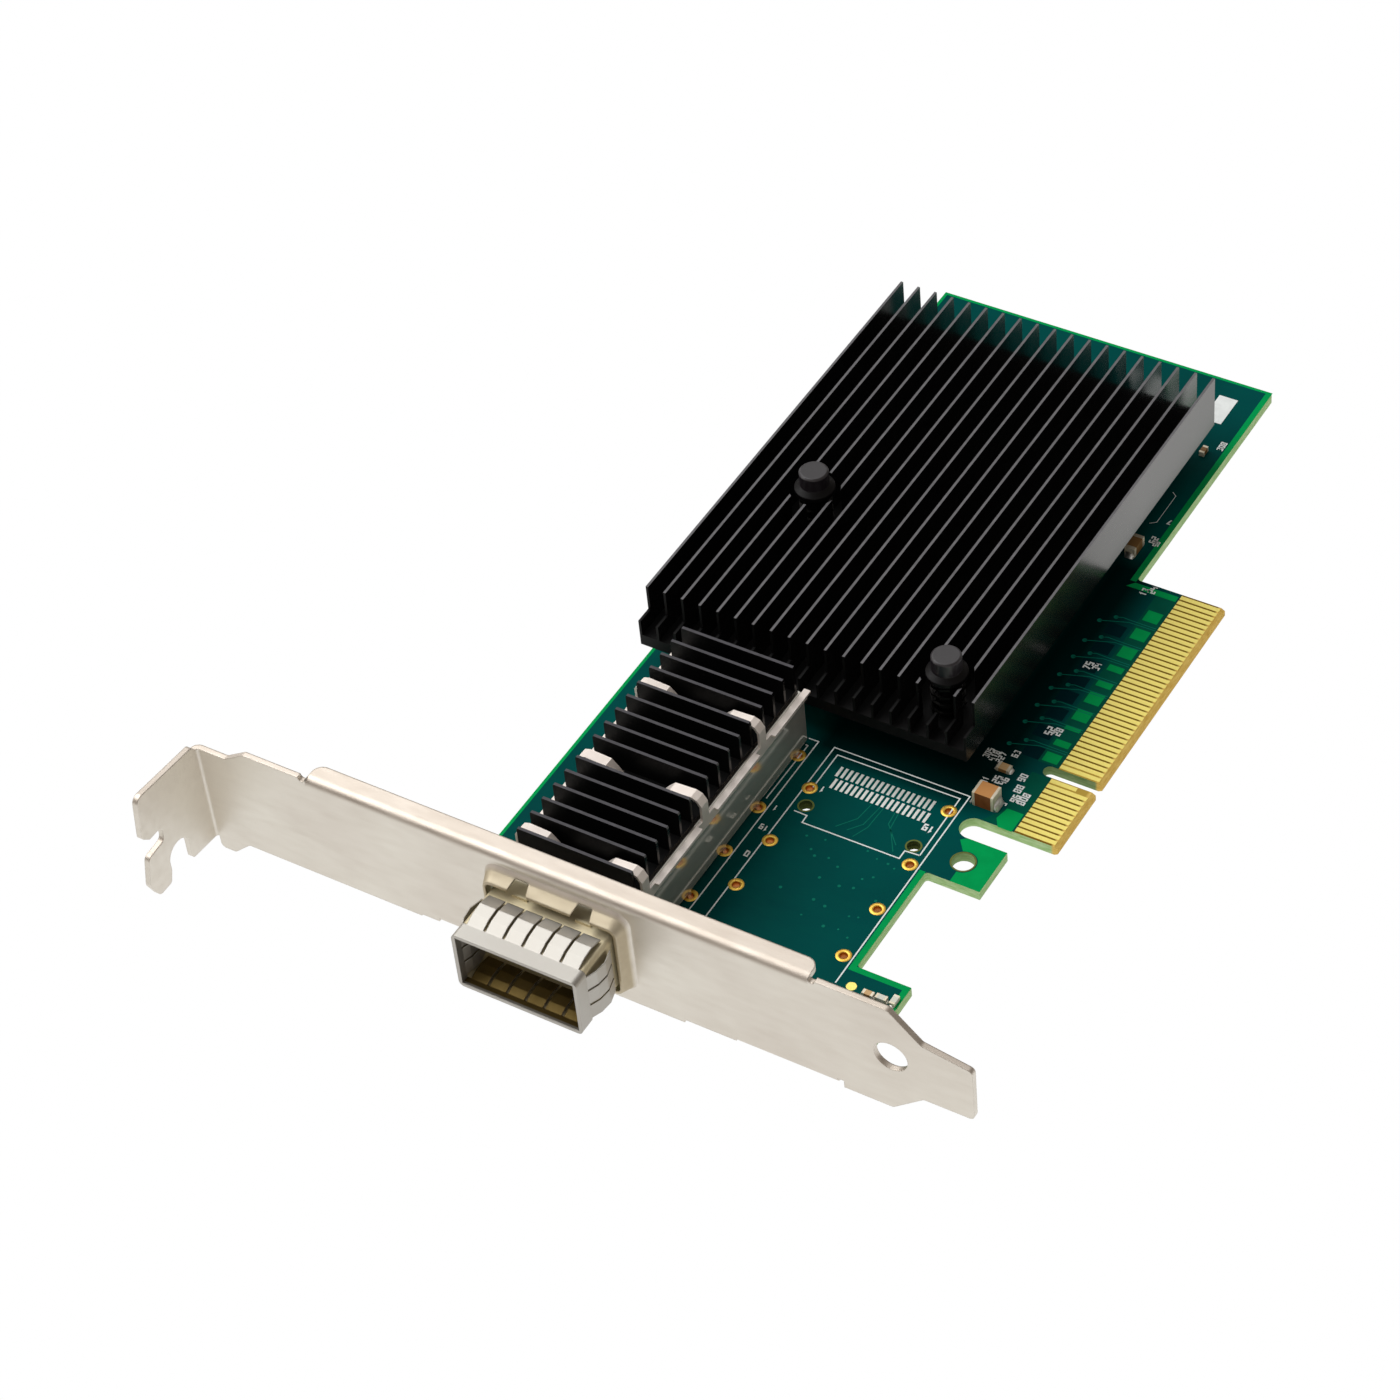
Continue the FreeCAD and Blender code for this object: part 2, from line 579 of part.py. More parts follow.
def make_bracket_screws():
    low = PLATE_LOW
    length, width, depth = RECESS
    screws = []
    for _, _, y in EARS:
        profile = [(0, low), (SCREW_R, low), (SCREW_R, 0), (SCREW_HEAD_R, 0),
                   (SCREW_HEAD_R, SCREW_HEAD_H), (0, SCREW_HEAD_H)]
        screw = turned(profile, SCREW_X, y)
        floor = SCREW_HEAD_H - depth
        cross = [box_at(SCREW_X, y, (length, width, depth), floor),
                 box_at(SCREW_X, y, (width, length, depth), floor)]
        screws.append(screw.cut(cross))
    return group(screws)


# ---- module cage --------------------------------------------------------------------------------------
def make_cage():
    """Folded sheet cage: open mouth, closed rear, roof window, floor cut-out, press-fit legs."""
    shell = slab(frame_rect(CAGE_SIDE, CAGE_LOW, CAGE_HIGH, CAGE_R), CAGE_FRONT, CAGE_REAR, upright)
    hollow = slab(frame_rect(CAGE_SIDE - CAGE_T, CAGE_LOW + CAGE_T, CAGE_HIGH - CAGE_T, CAGE_R - CAGE_T),
                  CAGE_FRONT, CAGE_REAR - CAGE_T, upright)
    inside = CAGE_SIDE - WINDOW_MARGIN
    window = block(*WINDOW_X, PORT_Y - inside, PORT_Y + inside, CAGE_HIGH - CAGE_T, CAGE_HIGH)
    floor_gap = block(CONNECTOR_X[0] - CONNECTOR_NOSE, CAGE_REAR - CAGE_T, PORT_Y - CAGE_SIDE + CAGE_T,
                      PORT_Y + CAGE_SIDE - CAGE_T, CAGE_LOW, CAGE_LOW + CAGE_R)
    cage = shell.cut([hollow, window, floor_gap])
    parts = [cage]
    for x, y in press_fit_holes(PORT_Y):
        side = 1 if y > PORT_Y else -1
        wall = PORT_Y + side * CAGE_SIDE
        inner, outer = sorted((wall, wall - side * CAGE_T))
        parts.append(block(x - LEG_W / 2, x + LEG_W / 2, inner, outer, -LEG_DROP, CAGE_LOW + CAGE_R))
    for y in NOTCH_CENTRES:
        parts.append(block(STOP_X, STOP_X + STOP_T, y - STOP_W / 2, y + STOP_W / 2,
                           CAGE_HIGH - CAGE_T, CAGE_HIGH + STOP_HIGH))
    return joined(parts)


def bowed_finger(length, bow, width):
    """One spring finger folded in flats: it rises, runs along and comes back towards its wall."""
    line = [(along * length, out * bow + GASKET_T / 2) for along, out in FINGER_FORM]
    return slab(folded(line, GASKET_T), -width / 2, width / 2, lengthwise)


def finger_row(count, span, length, bow, turn, at):
    """A row of fingers across span, turned about the cage axis and moved to its wall."""
    pitch = span / count
    row = []
    for i in range(count):
        finger = bowed_finger(length, bow, pitch - FINGER_GAP)
        finger.translate(Vector(0, (i - (count - 1) / 2) * pitch, 0))
        finger.rotate(Vector(0, 0, 0), Vector(1, 0, 0), turn)
        finger.translate(at)
        row.append(finger)
    return row


def make_gasket():
    """Spring gasket folded over the mouth of the cage, fingers outside and inside."""
    t = GASKET_T
    front = CAGE_FRONT - t
    back = CAGE_FRONT + GASKET_BAND
    inner_back = CAGE_FRONT + INNER_BAND
    side, low, high = CAGE_SIDE, CAGE_LOW, CAGE_HIGH
    wall = side - CAGE_T
    outer = slab(frame_rect(side + t, low - t, high + t, CAGE_R + t), front, back, upright)
    cage = slab(frame_rect(side, low, high, CAGE_R), CAGE_FRONT, back, upright)
    lining = slab(frame_rect(wall, low + CAGE_T, high - CAGE_T, CAGE_R - CAGE_T),
                  CAGE_FRONT, inner_back, upright)
    mouth = block(front, back, PORT_Y - wall + t, PORT_Y + wall - t, low + CAGE_T + t, high - CAGE_T - t)
    band = outer.cut([cage, mouth]).fuse(lining.cut(mouth))
    middle = (low + high) / 2
    wide = 2 * (side - CAGE_R)
    tall = high - low - 2 * CAGE_R
    rows = [band]
    for facing, start, inset, length, bow in ((0, back, 0, FINGER_LENGTH, FINGER_BOW),
                                              (180, inner_back, CAGE_T, INNER_LENGTH, INNER_BOW)):
        root = start - FINGER_ROOT
        up, across = (high - low) / 2 - inset, side - inset
        for turn, y, z, count, span in ((0, 0, up, WIDE_FINGERS, wide), (180, 0, -up, WIDE_FINGERS, wide),
                                        (-90, across, 0, TALL_FINGERS, tall),
                                        (90, -across, 0, TALL_FINGERS, tall)):
            rows += finger_row(count, span - inset, length, bow, turn + facing,
                               Vector(root, PORT_Y + y, middle + z))
    return joined(rows)


def cage_fin_positions():
    positions = [CAGE_FIN_FIRST]
    for number in range(1, CAGE_FINS):
        positions.append(positions[-1] + STRAP_AFTER.get(number, CAGE_FIN_PITCH))
    return positions


def make_cage_heatsink():
    fins = cage_fin_positions()
    half = CAGE_FIN_SPAN
    base = block(fins[0] - CAGE_FIN_T, fins[-1] + CAGE_FIN_T, PORT_Y - half, PORT_Y + half,
                 CAGE_HIGH, CAGE_HIGH + CAGE_BASE_T)
    inside = CAGE_SIDE - WINDOW_MARGIN - FOOT_CLEAR
    foot = block(WINDOW_X[0] + FOOT_CLEAR, WINDOW_X[1] - FOOT_CLEAR, PORT_Y - inside, PORT_Y + inside,
                 CAGE_HIGH - FOOT_DROP, CAGE_HIGH)
    inward, drop = FIN_END_SLOPE
    shoulder = CAGE_FIN_TOP - drop
    profile = [(PORT_Y - half, CAGE_HIGH), (PORT_Y + half, CAGE_HIGH), (PORT_Y + half, shoulder),
               (PORT_Y + half - inward, CAGE_FIN_TOP), (PORT_Y - half + inward, CAGE_FIN_TOP),
               (PORT_Y - half, shoulder)]
    plates = [slab(profile, x - CAGE_FIN_T / 2, x + CAGE_FIN_T / 2, upright) for x in fins]
    return joined([base, foot] + plates)


def make_clip():
    """Spring clip: two side rails on the cage and three sprung straps between the fins."""
    fins = cage_fin_positions()
    start, end = fins[0] - RAIL_OVER, fins[-1] + RAIL_OVER
    straps = [fins[number - 1] + gap / 2 + STRAP_SHIFT for number, gap in STRAP_AFTER.items()]
    clear = STRAP_W / 2 + RAIL_LIP_GAP
    parts = []
    for side in (-1, 1):
        inner, outer = PORT_Y + side * CAGE_SIDE, PORT_Y + side * (CAGE_SIDE + CLIP_T)
        parts.append(block(start, end, *sorted((inner, outer)), RAIL_LOW, RAIL_TOP))
        edges = [start - clear] + straps + [end + clear]
        for strap, following in zip(edges, edges[1:]):
            parts.append(block(strap + clear, following - clear, *sorted((inner, outer + side * RAIL_LIP)),
                               RAIL_TOP - CLIP_T, RAIL_TOP))
    middle_y = CAGE_SIDE + CLIP_T / 2
    half = [(middle_y + out, z) for out, z in STRAP_LINE]
    line = [(PORT_Y + v, z) for v, z in half] + [(PORT_Y - v, z) for v, z in reversed(half)]
    outline = folded(line, CLIP_T)
    for middle in straps:
        parts.append(slab(outline, middle - STRAP_W / 2, middle + STRAP_W / 2, upright))
    return joined(parts)


# ---- connector inside the cage ---------------------------------------------------------------------------
def contact_rows():
    """Positions across the connector, on the contact pitch."""
    return [PORT_Y + (i - (CONTACT_COUNT - 1) / 2) * CONTACT_PITCH for i in range(CONTACT_COUNT)]


def make_module_connector():
    half = CONNECTOR_W / 2
    x0, x1 = CONNECTOR_X
    foot, nose, top = CONNECTOR_Z
    chamfer = CONNECTOR_CHAMFER
    body = slab([(x0, nose), (x0, top), (x1 - chamfer, top), (x1, top - chamfer), (x1, foot),
                 (x0 + CONNECTOR_NOSE, foot), (x0 + CONNECTOR_NOSE, nose)],
                PORT_Y - half, PORT_Y + half, lengthwise)
    inside = half - CARD_SLOT_WALL
    slot = block(x0, x0 + CARD_SLOT_DEPTH, PORT_Y - inside, PORT_Y + inside, *CARD_SLOT)
    pegs = [drill(PEG_R, PEG_X, PORT_Y + side * PEG_SPAN, SOLDER + PEG_SHORT, CONNECTOR_Z[1])
            for side in (-1, 1)]
    return joined([body.cut(slot)] + pegs)


def make_module_contacts():
    """Sprung contacts above and below the slot that takes the module's card edge."""
    root, tip_from, tip_to, end = (CONNECTOR_X[0] + x for x in CONTACT_X)
    low, high = CARD_SLOT
    half = CONTACT_W / 2
    solids = []
    for y in contact_rows():
        for wall, tip in ((high, high - CONTACT_REACH), (low, low + CONTACT_REACH)):
            profile = [(root, wall), (end, wall), (tip_to, tip), (tip_from, tip)]
            solids.append(slab(profile, y - half, y + half, lengthwise))
    return group(solids)


# ---- main heatsink ------------------------------------------------------------------------------------
def make_main_heatsink():
    low, top_of_base = SINK_BASE
    front = SINK_NEAR - SINK_STEP
    first = SINK_FIN_LOW - SINK_FIN_T / 2
    last = SINK_FIN_LOW + (SINK_FINS - 1) * SINK_FIN_PITCH + SINK_FIN_T / 2
    base = block(front, SINK_FAR, first, last, low, top_of_base)
    foot = block(CHIP_AT[0] - FOOT / 2, CHIP_AT[0] + FOOT / 2, CHIP_AT[1] - FOOT / 2, CHIP_AT[1] + FOOT / 2,
                 CHIP_LID_Z + PAD_T, low)
    profile = [(front, low), (SINK_FAR, low), (SINK_FAR, SINK_TOP), (SINK_NEAR, SINK_TOP),
               (SINK_NEAR, SINK_STEP_Z), (front, SINK_STEP_Z)]
    fins = []
    for i in range(SINK_FINS):
        y = SINK_FIN_LOW + i * SINK_FIN_PITCH
        fins.append(slab(profile, y - SINK_FIN_T / 2, y + SINK_FIN_T / 2, lengthwise))
    sink = base.fuse([foot] + fins)
    cuts = []
    for x, y in PINS.values():
        cuts.append(rod(POCKET_R, x, y, top_of_base, SINK_TOP))
        cuts.append(rod(PIN_HOLE_R + PIN_SINK_CLEAR, x, y, low, top_of_base))
    return sink.cut(cuts).removeSplitter()


def make_push_pin(x, y):
    """Nylon push pin: tall head, cap over the spring, shaft and split barb below the board."""
    cap_low, cap_high = PIN_CAP_Z
    bevel = PIN_HEAD_CHAMFER
    profile = [
        (0, PIN_TIP_Z), (PIN_TIP_R, PIN_TIP_Z), (PIN_BARB_R, SOLDER - PIN_BARB_H),
        (PIN_SHAFT_R, SOLDER), (PIN_SHAFT_R, cap_low), (PIN_CAP_R, cap_low), (PIN_CAP_R, cap_high),
        (PIN_HEAD_R, cap_high + PIN_CAP_SLOPE), (PIN_HEAD_R, PIN_HEAD_TOP - bevel),
        (PIN_HEAD_R - bevel, PIN_HEAD_TOP), (0, PIN_HEAD_TOP)]
    split = block(x - PIN_BARB_R, x + PIN_BARB_R, y - PIN_SPLIT / 2, y + PIN_SPLIT / 2,
                  PIN_TIP_Z, PIN_SPLIT_TOP)
    return turned(profile, x, y).cut(split)


def make_pin_spring(x, y):
    """Coil of square wire between the heatsink's base and the pin's cap."""
    half = SPRING_WIRE / 2
    low = SINK_BASE[1] + half
    high = PIN_CAP_Z[0] - SPRING_SLACK - half
    steps = SPRING_TURNS * SPRING_STEPS
    sections = []
    for step in range(steps + 1):
        section = ring([(SPRING_R - half, -half), (SPRING_R + half, -half), (SPRING_R + half, half),
                        (SPRING_R - half, half)], lengthwise)
        section.rotate(Vector(0, 0, 0), Vector(0, 0, 1), 360 * step / SPRING_STEPS)
        section.translate(Vector(x, y, low + (high - low) * step / steps))
        sections.append(section)
    return Part.makeLoft(sections, True, True)


# ---- parts on the board -------------------------------------------------------------------------------
def chip_part(x, y, size, along_x=True):
    """Two-terminal chip part as a plain block, its length along X or along Y."""
    length, width, height = size
    return box_at(x, y, size) if along_x else box_at(x, y, (width, length, height))


def make_controller():
    substrate = box_at(*CHIP_AT, (CHIP, CHIP, CHIP_SUBSTRATE_Z))
    lid = box_at(*CHIP_AT, (CHIP_LID, CHIP_LID, CHIP_LID_Z - CHIP_SUBSTRATE_Z), CHIP_SUBSTRATE_Z)
    return joined([substrate, lid])


def make_thermal_pad():
    side = CHIP_LID - 2 * PAD_MARGIN
    return box_at(*CHIP_AT, (side, side, PAD_T), CHIP_LID_Z)


def make_flash():
    """Eight-lead configuration memory beside the controller."""
    x, y = FLASH
    length, width = FLASH_BODY
    low, high = FLASH_Z
    lead_w, lead_t, pitch = FLASH_LEAD
    reach = (FLASH_SPAN - width) / 2
    solids = [box_at(x, y, (length, width, high - low), low)]
    for i in range(4):
        for side in (-1, 1):
            lead_y = y + side * (width + reach) / 2
            solids.append(box_at(x + (i - 1.5) * pitch, lead_y, (lead_w, reach, lead_t)))
    return joined(solids)


def make_solder_side_capacitors():
    """Decoupling parts under the controller, on the solder face."""
    x, y = CHIP_AT
    spots = [(i - (DECOUPLING - 1) / 2) * DECOUPLING_PITCH for i in range(DECOUPLING)]
    return group([box_at(x + u, y + v, CHIP_0402, SOLDER - CHIP_0402[2]) for u in spots for v in spots])


NODES = {
    "board": make_board,
    "edge_contacts_component_side": lambda: make_edge_contacts(0, PIN_T, LATE_TOP),
    "edge_contacts_solder_side": lambda: make_edge_contacts(SOLDER - PIN_T, SOLDER, LATE_UNDER),
    "spare_port_pads": make_spare_pads,
    "bracket": make_bracket,
    "bracket_screws": make_bracket_screws,
    "module_cage": make_cage,
    "spring_gasket": make_gasket,
    "cage_heatsink": make_cage_heatsink,
    "heatsink_clip": make_clip,
    "module_connector": make_module_connector,
    "module_contacts": make_module_contacts,
    "main_heatsink": make_main_heatsink,
    "front_push_pin": lambda: make_push_pin(*PINS["front"]),
    "rear_push_pin": lambda: make_push_pin(*PINS["rear"]),
    "front_pin_spring": lambda: make_pin_spring(*PINS["front"]),
    "rear_pin_spring": lambda: make_pin_spring(*PINS["rear"]),
    "controller": make_controller,
    "thermal_pad": make_thermal_pad,
    "bulk_capacitor": lambda: chip_part(*BULK_CAP, CHIP_1210, along_x=False),
    "edge_capacitors": lambda: group([chip_part(*LARGE_CAP, CHIP_1206),
                                      chip_part(*SMALL_CAP, CHIP_0603)]),
    "chip_resistors": lambda: group([chip_part(*part, along_x=False) for part in RESISTORS]),
    "status_leds": lambda: group([chip_part(*LED_ACROSS, LED, along_x=False),
                                  chip_part(*LED_ALONG, LED)]),
    "flash_memory": make_flash,
    "crystal": lambda: box_at(*CRYSTAL, CRYSTAL_BODY),
    "power_inductors": lambda: group([box_at(*at, INDUCTOR_BODY) for at in INDUCTORS]),
    "voltage_regulators": lambda: group([box_at(*at, REGULATOR_BODY) for at in REGULATORS]),
    "solder_side_capacitors": make_solder_side_capacitors,
}

os.makedirs("parts", exist_ok=True)
for name, make in NODES.items():
    make().exportStep("parts/" + name + ".step")
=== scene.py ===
import math
import random

import bmesh
import bpy
from mathutils import Matrix, Vector


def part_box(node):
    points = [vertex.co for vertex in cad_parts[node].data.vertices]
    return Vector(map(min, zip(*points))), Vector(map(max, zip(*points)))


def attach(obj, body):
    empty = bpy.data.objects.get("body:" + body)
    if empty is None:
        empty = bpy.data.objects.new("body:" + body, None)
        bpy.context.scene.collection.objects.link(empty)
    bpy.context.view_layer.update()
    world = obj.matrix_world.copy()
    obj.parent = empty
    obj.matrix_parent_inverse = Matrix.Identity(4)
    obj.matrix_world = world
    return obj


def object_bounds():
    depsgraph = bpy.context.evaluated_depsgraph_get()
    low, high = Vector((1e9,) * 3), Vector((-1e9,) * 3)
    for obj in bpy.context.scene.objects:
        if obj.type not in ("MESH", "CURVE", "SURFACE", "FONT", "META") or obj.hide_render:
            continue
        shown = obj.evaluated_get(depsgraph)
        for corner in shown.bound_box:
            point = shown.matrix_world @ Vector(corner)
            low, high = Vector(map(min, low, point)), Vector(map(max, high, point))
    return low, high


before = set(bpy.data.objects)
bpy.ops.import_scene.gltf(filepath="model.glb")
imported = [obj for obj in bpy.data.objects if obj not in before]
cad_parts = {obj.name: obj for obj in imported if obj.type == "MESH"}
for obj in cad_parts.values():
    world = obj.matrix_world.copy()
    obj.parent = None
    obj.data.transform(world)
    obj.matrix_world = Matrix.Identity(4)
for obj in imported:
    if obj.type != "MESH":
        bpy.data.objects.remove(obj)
cad_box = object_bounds()
MM = 0.001


# ---------------------------------------------------------------- sizes and places, in millimetres
def mm_box(node):
    """Low and high corner of a node's box, in millimetres."""
    return [tuple(v / MM for v in corner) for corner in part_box(node)]


BOARD_LOW, BOARD_HIGH = mm_box("board")
UNDER, TOP = BOARD_LOW[2], BOARD_HIGH[2]
CONTACTS_LOW, CONTACTS_HIGH = mm_box("edge_contacts_component_side")
CAGE_LOW, CAGE_HIGH = mm_box("module_cage")

# Port footprint, shared by the fitted port and the unused one a pitch below it. Only the unused
# port's peg holes show.
PORT_Y = (CAGE_LOW[1] + CAGE_HIGH[1]) / 2
PORT_PITCH = 23.55
SPARE_Y = PORT_Y - PORT_PITCH
PEG_HOLES = [(-20.45, SPARE_Y - 8.35), (-20.45, SPARE_Y + 8.35)]
PEG_HOLE_R = 0.94
HOLE_ROW = 9.52             # from the port's centre line to each row of plated holes
HIGH_Y_HOLES = (-17.3, -28.2, -37.2, -46.2)
LOW_Y_HOLES = (-12.65, -23.6, -32.55, -41.7)
PLATED_HOLES = [(x, port_y + shift)
                for port_y in (PORT_Y, SPARE_Y)
                for row, shift in ((HIGH_Y_HOLES, HOLE_ROW), (LOW_Y_HOLES, -HOLE_ROW))
                for x in row]

# Outline of the board's lower edge.
HOOK_HOLE = (-20.0, 10.1)
HOOK_HOLE_R = 1.6
HOOK_LEFT, HOOK_RIGHT = -23.84, -15.93
LEG_X = -42.6               # right edge of the board's leg behind the bracket
FOOT_Y = 5.6                # lower edge of the hook and of the leg
SHOULDER_Y = 13.7           # lower edge between the hook, the leg and the contacts

# Where one paint fades into the next along an axis, for finishes and for painted highlight and shade.
MOUTH_X = (-57.2, -56.2)            # the cage's mouth ends
COLLAR_X = (-58.7, -58.2)           # the bracket's drawn collar ends at its plate
COLLAR_HALF = 14.0                  # and reaches this far to either side of the port
FIN_EDGE_Z = (12.0, 13.0)           # above lie the fins' top edges
PIN_HEAD_Z = (14.9, 15.1)           # above lies the push pin's head
INNER_FINGER_X = (-68.6, -68.4)     # the spring gasket's inner fingers begin
INNER_FINGER_Z = (3.0, 4.0)         # and stay below


class SmallPart:
    """A two-ended part in a corner of its node's box, or filling it where no size is given."""

    def __init__(self, node, along, cap, solder=None, size=None, corner=(0, 0)):
        low, high = mm_box(node)
        size = size or [high[i] - low[i] for i in (0, 1)]
        self.low = [high[i] - size[i] if corner[i] else low[i] for i in (0, 1)]
        self.high = [self.low[i] + size[i] for i in (0, 1)]
        self.node, self.along, self.cap, self.solder = node, along, cap, solder


# Node, long way, cap length, the solder's height and reach, size, and corner: 1 is the far side of X or Y.
SMALL_PARTS = [SmallPart(*row) for row in (
    ("bulk_capacitor", "Y", 0.38, (1.3, 0.6)),
    ("chip_resistors", "Y", 0.4, (0.4, 0.4), (1.25, 2.0), (1, 1)),
    ("chip_resistors", "Y", 0.35, (0.5, 0.3), (0.8, 1.6)),
    ("edge_capacitors", "X", 0.6, (0.9, 0.5), (3.2, 1.6)),
    ("edge_capacitors", "X", 0.35, None, (1.6, 1.6), (1, 0)),
    ("status_leds", "Y", 0.3, (0.4, 0.3), (0.8, 1.6), (0, 1)),
    ("status_leds", "X", 0.3, (0.4, 0.3), (1.6, 0.8)))]


# ---------------------------------------------------------------- material helpers
def srgb(r, g, b):
    """Linear colour from 0-255 display values."""
    def one(v):
        v /= 255
        return v / 12.92 if v <= 0.04045 else ((v + 0.055) / 1.055) ** 2.4
    return (one(r), one(g), one(b), 1.0)


def scaled(colour, factor, lift=0.0):
    """A darker or paler tone of a colour."""
    return tuple(min(1.0, c * factor + lift) for c in colour[:3]) + (1.0,)


class Paint:
    """A principled material and short ways to wire procedural detail into it."""

    def __init__(self, name, colour, metallic=0.0, rough=0.5, specular=0.5):
        self.mat = bpy.data.materials.new(name)
        self.mat.use_nodes = True
        self.nodes = self.mat.node_tree.nodes
        self.links = self.mat.node_tree.links
        self.shader = self.nodes["Principled BSDF"]
        self.shader.inputs["Base Color"].default_value = colour
        self.shader.inputs["Metallic"].default_value = metallic
        self.shader.inputs["Roughness"].default_value = rough
        self.shader.inputs["Specular IOR Level"].default_value = specular
        self.mat.diffuse_color = colour

    def node(self, kind, **values):
        """A new shader node with its properties set."""
        node = self.nodes.new(kind)
        for key, value in values.items():
            setattr(node, key, value)
        return node

    def link(self, source, target):
        self.links.new(source, target)

    def place(self):
        """Position on the object, in metres."""
        return self.node("ShaderNodeTexCoord").outputs["Object"]

    def axis(self, name, source=None):
        """One component of a vector, or of the position where none is given."""
        split = self.node("ShaderNodeSeparateXYZ")
        self.link(source or self.place(), split.inputs[0])
        return split.outputs[name]

    def facing(self, name):
        """One component of the surface's own direction."""
        return self.axis(name, self.node("ShaderNodeNewGeometry").outputs["True Normal"])

    def noise(self, scale, detail=3.0, stretch=None, seed=0.0):
        node = self.node("ShaderNodeTexNoise")
        node.inputs["Scale"].default_value = scale
        node.inputs["Detail"].default_value = detail
        node.inputs["Roughness"].default_value = 0.55
        mapping = self.node("ShaderNodeMapping")
        mapping.inputs["Location"].default_value = (seed, seed * 0.7, seed * 0.3)
        if stretch:
            mapping.inputs["Scale"].default_value = stretch
        self.link(self.place(), mapping.inputs[0])
        self.link(mapping.outputs[0], node.inputs["Vector"])
        return node.outputs["Fac"]

    def ramp(self, source, low, high, a=0.0, b=1.0):
        """Runs from a to b while the source runs from low to high."""
        node = self.node("ShaderNodeMapRange")
        node.clamp = True
        for key, value in (("From Min", low), ("From Max", high), ("To Min", a), ("To Max", b)):
            node.inputs[key].default_value = value
        self.link(source, node.inputs["Value"])
        return node.outputs["Result"]

    def math(self, operation, a, b=None):
        node = self.node("ShaderNodeMath", operation=operation)
        for socket, value in zip(node.inputs, (a, b)):
            if value is None:
                continue
            if isinstance(value, (int, float)):
                socket.default_value = value
            else:
                self.link(value, socket)
        return node.outputs[0]

    def both(self, a, b):
        """1 where two masks are both 1."""
        return self.math("MULTIPLY", a, b)

    def either(self, a, b):
        """1 where one of two masks is 1."""
        return self.math("MAXIMUM", a, b)

    def past(self, name, low, high):
        """Climbs from 0 to 1 between two positions along an axis, in millimetres."""
        return self.ramp(self.axis(name), low * MM, high * MM)

    def short_of(self, name, low, high):
        """Falls from 1 to 0 between two positions along an axis, in millimetres."""
        return self.ramp(self.axis(name), low * MM, high * MM, 1.0, 0.0)

    def span(self, name, low, high, blur=0.02):
        """1 between two positions along an axis, in millimetres; 0 outside."""
        return self.both(self.past(name, low - blur, low + blur),
                         self.short_of(name, high - blur, high + blur))

    def around(self, x, y, radius):
        """1 within a radius, in millimetres, of an upright axis through x, y; 0 outside."""
        dx = self.math("SUBTRACT", self.axis("X"), x * MM)
        dy = self.math("SUBTRACT", self.axis("Y"), y * MM)
        square = self.math("ADD", self.both(dx, dx), self.both(dy, dy))
        return self.math("LESS_THAN", square, (radius * MM) ** 2)

    def upward(self, low, high):
        """Climbs from 0 to 1 as the surface turns towards +Z."""
        return self.ramp(self.facing("Z"), low, high)

    def upright(self, low, high):
        """Falls from 1 to 0 as the surface turns from upright to flat."""
        return self.ramp(self.math("ABSOLUTE", self.facing("Z")), low, high, 1.0, 0.0)

    def mix(self, factor, a, b):
        node = self.node("ShaderNodeMix", data_type="RGBA")
        self.link(factor, node.inputs[0])
        for socket, value in ((node.inputs[6], a), (node.inputs[7], b)):
            if isinstance(value, tuple):
                socket.default_value = value
            else:
                self.link(value, socket)
        return node.outputs[2]

    def colour(self, source):
        self.link(source, self.shader.inputs["Base Color"])

    def rough(self, source):
        self.link(source, self.shader.inputs["Roughness"])

    def metal(self, source):
        self.link(source, self.shader.inputs["Metallic"])

    def gloss(self, source):
        self.link(source, self.shader.inputs["Specular IOR Level"])

    def bump(self, source, strength, distance):
        """Shallow relief; distance is in metres."""
        node = self.node("ShaderNodeBump")
        node.inputs["Strength"].default_value = strength
        node.inputs["Distance"].default_value = distance
        self.link(source, node.inputs["Height"])
        self.link(node.outputs[0], self.shader.inputs["Normal"])
        self.grain = node

    def soften(self, radius, samples=6):
        """Rounds the light over folds and edges by a small radius in metres."""
        node = self.node("ShaderNodeBevel", samples=samples)
        node.inputs["Radius"].default_value = radius
        self.link(node.outputs[0], self.grain.inputs["Normal"])


def dress(paint, *names):
    """Gives CAD nodes a paint."""
    for name in names:
        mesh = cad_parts[name].data
        mesh.materials.clear()
        mesh.materials.append(paint.mat)


# ---------------------------------------------------------------- materials
def sheet_metal(name, colour, rough, grain=0.25, metallic=1.0):
    """Plated sheet: faint mottling, a fine grain and slightly uneven gloss."""
    p = Paint(name, colour, metallic=metallic, rough=rough)
    mottle = p.noise(70.0, 4.0, seed=0.3)
    p.colour(p.mix(p.ramp(mottle, 0.35, 0.7), scaled(colour, 0.93), colour))
    fine = p.noise(900.0, 2.0)
    p.rough(p.ramp(fine, 0.3, 0.7, rough * 0.85, min(1.0, rough * 1.2)))
    p.bump(fine, grain, 0.00002)
    return p


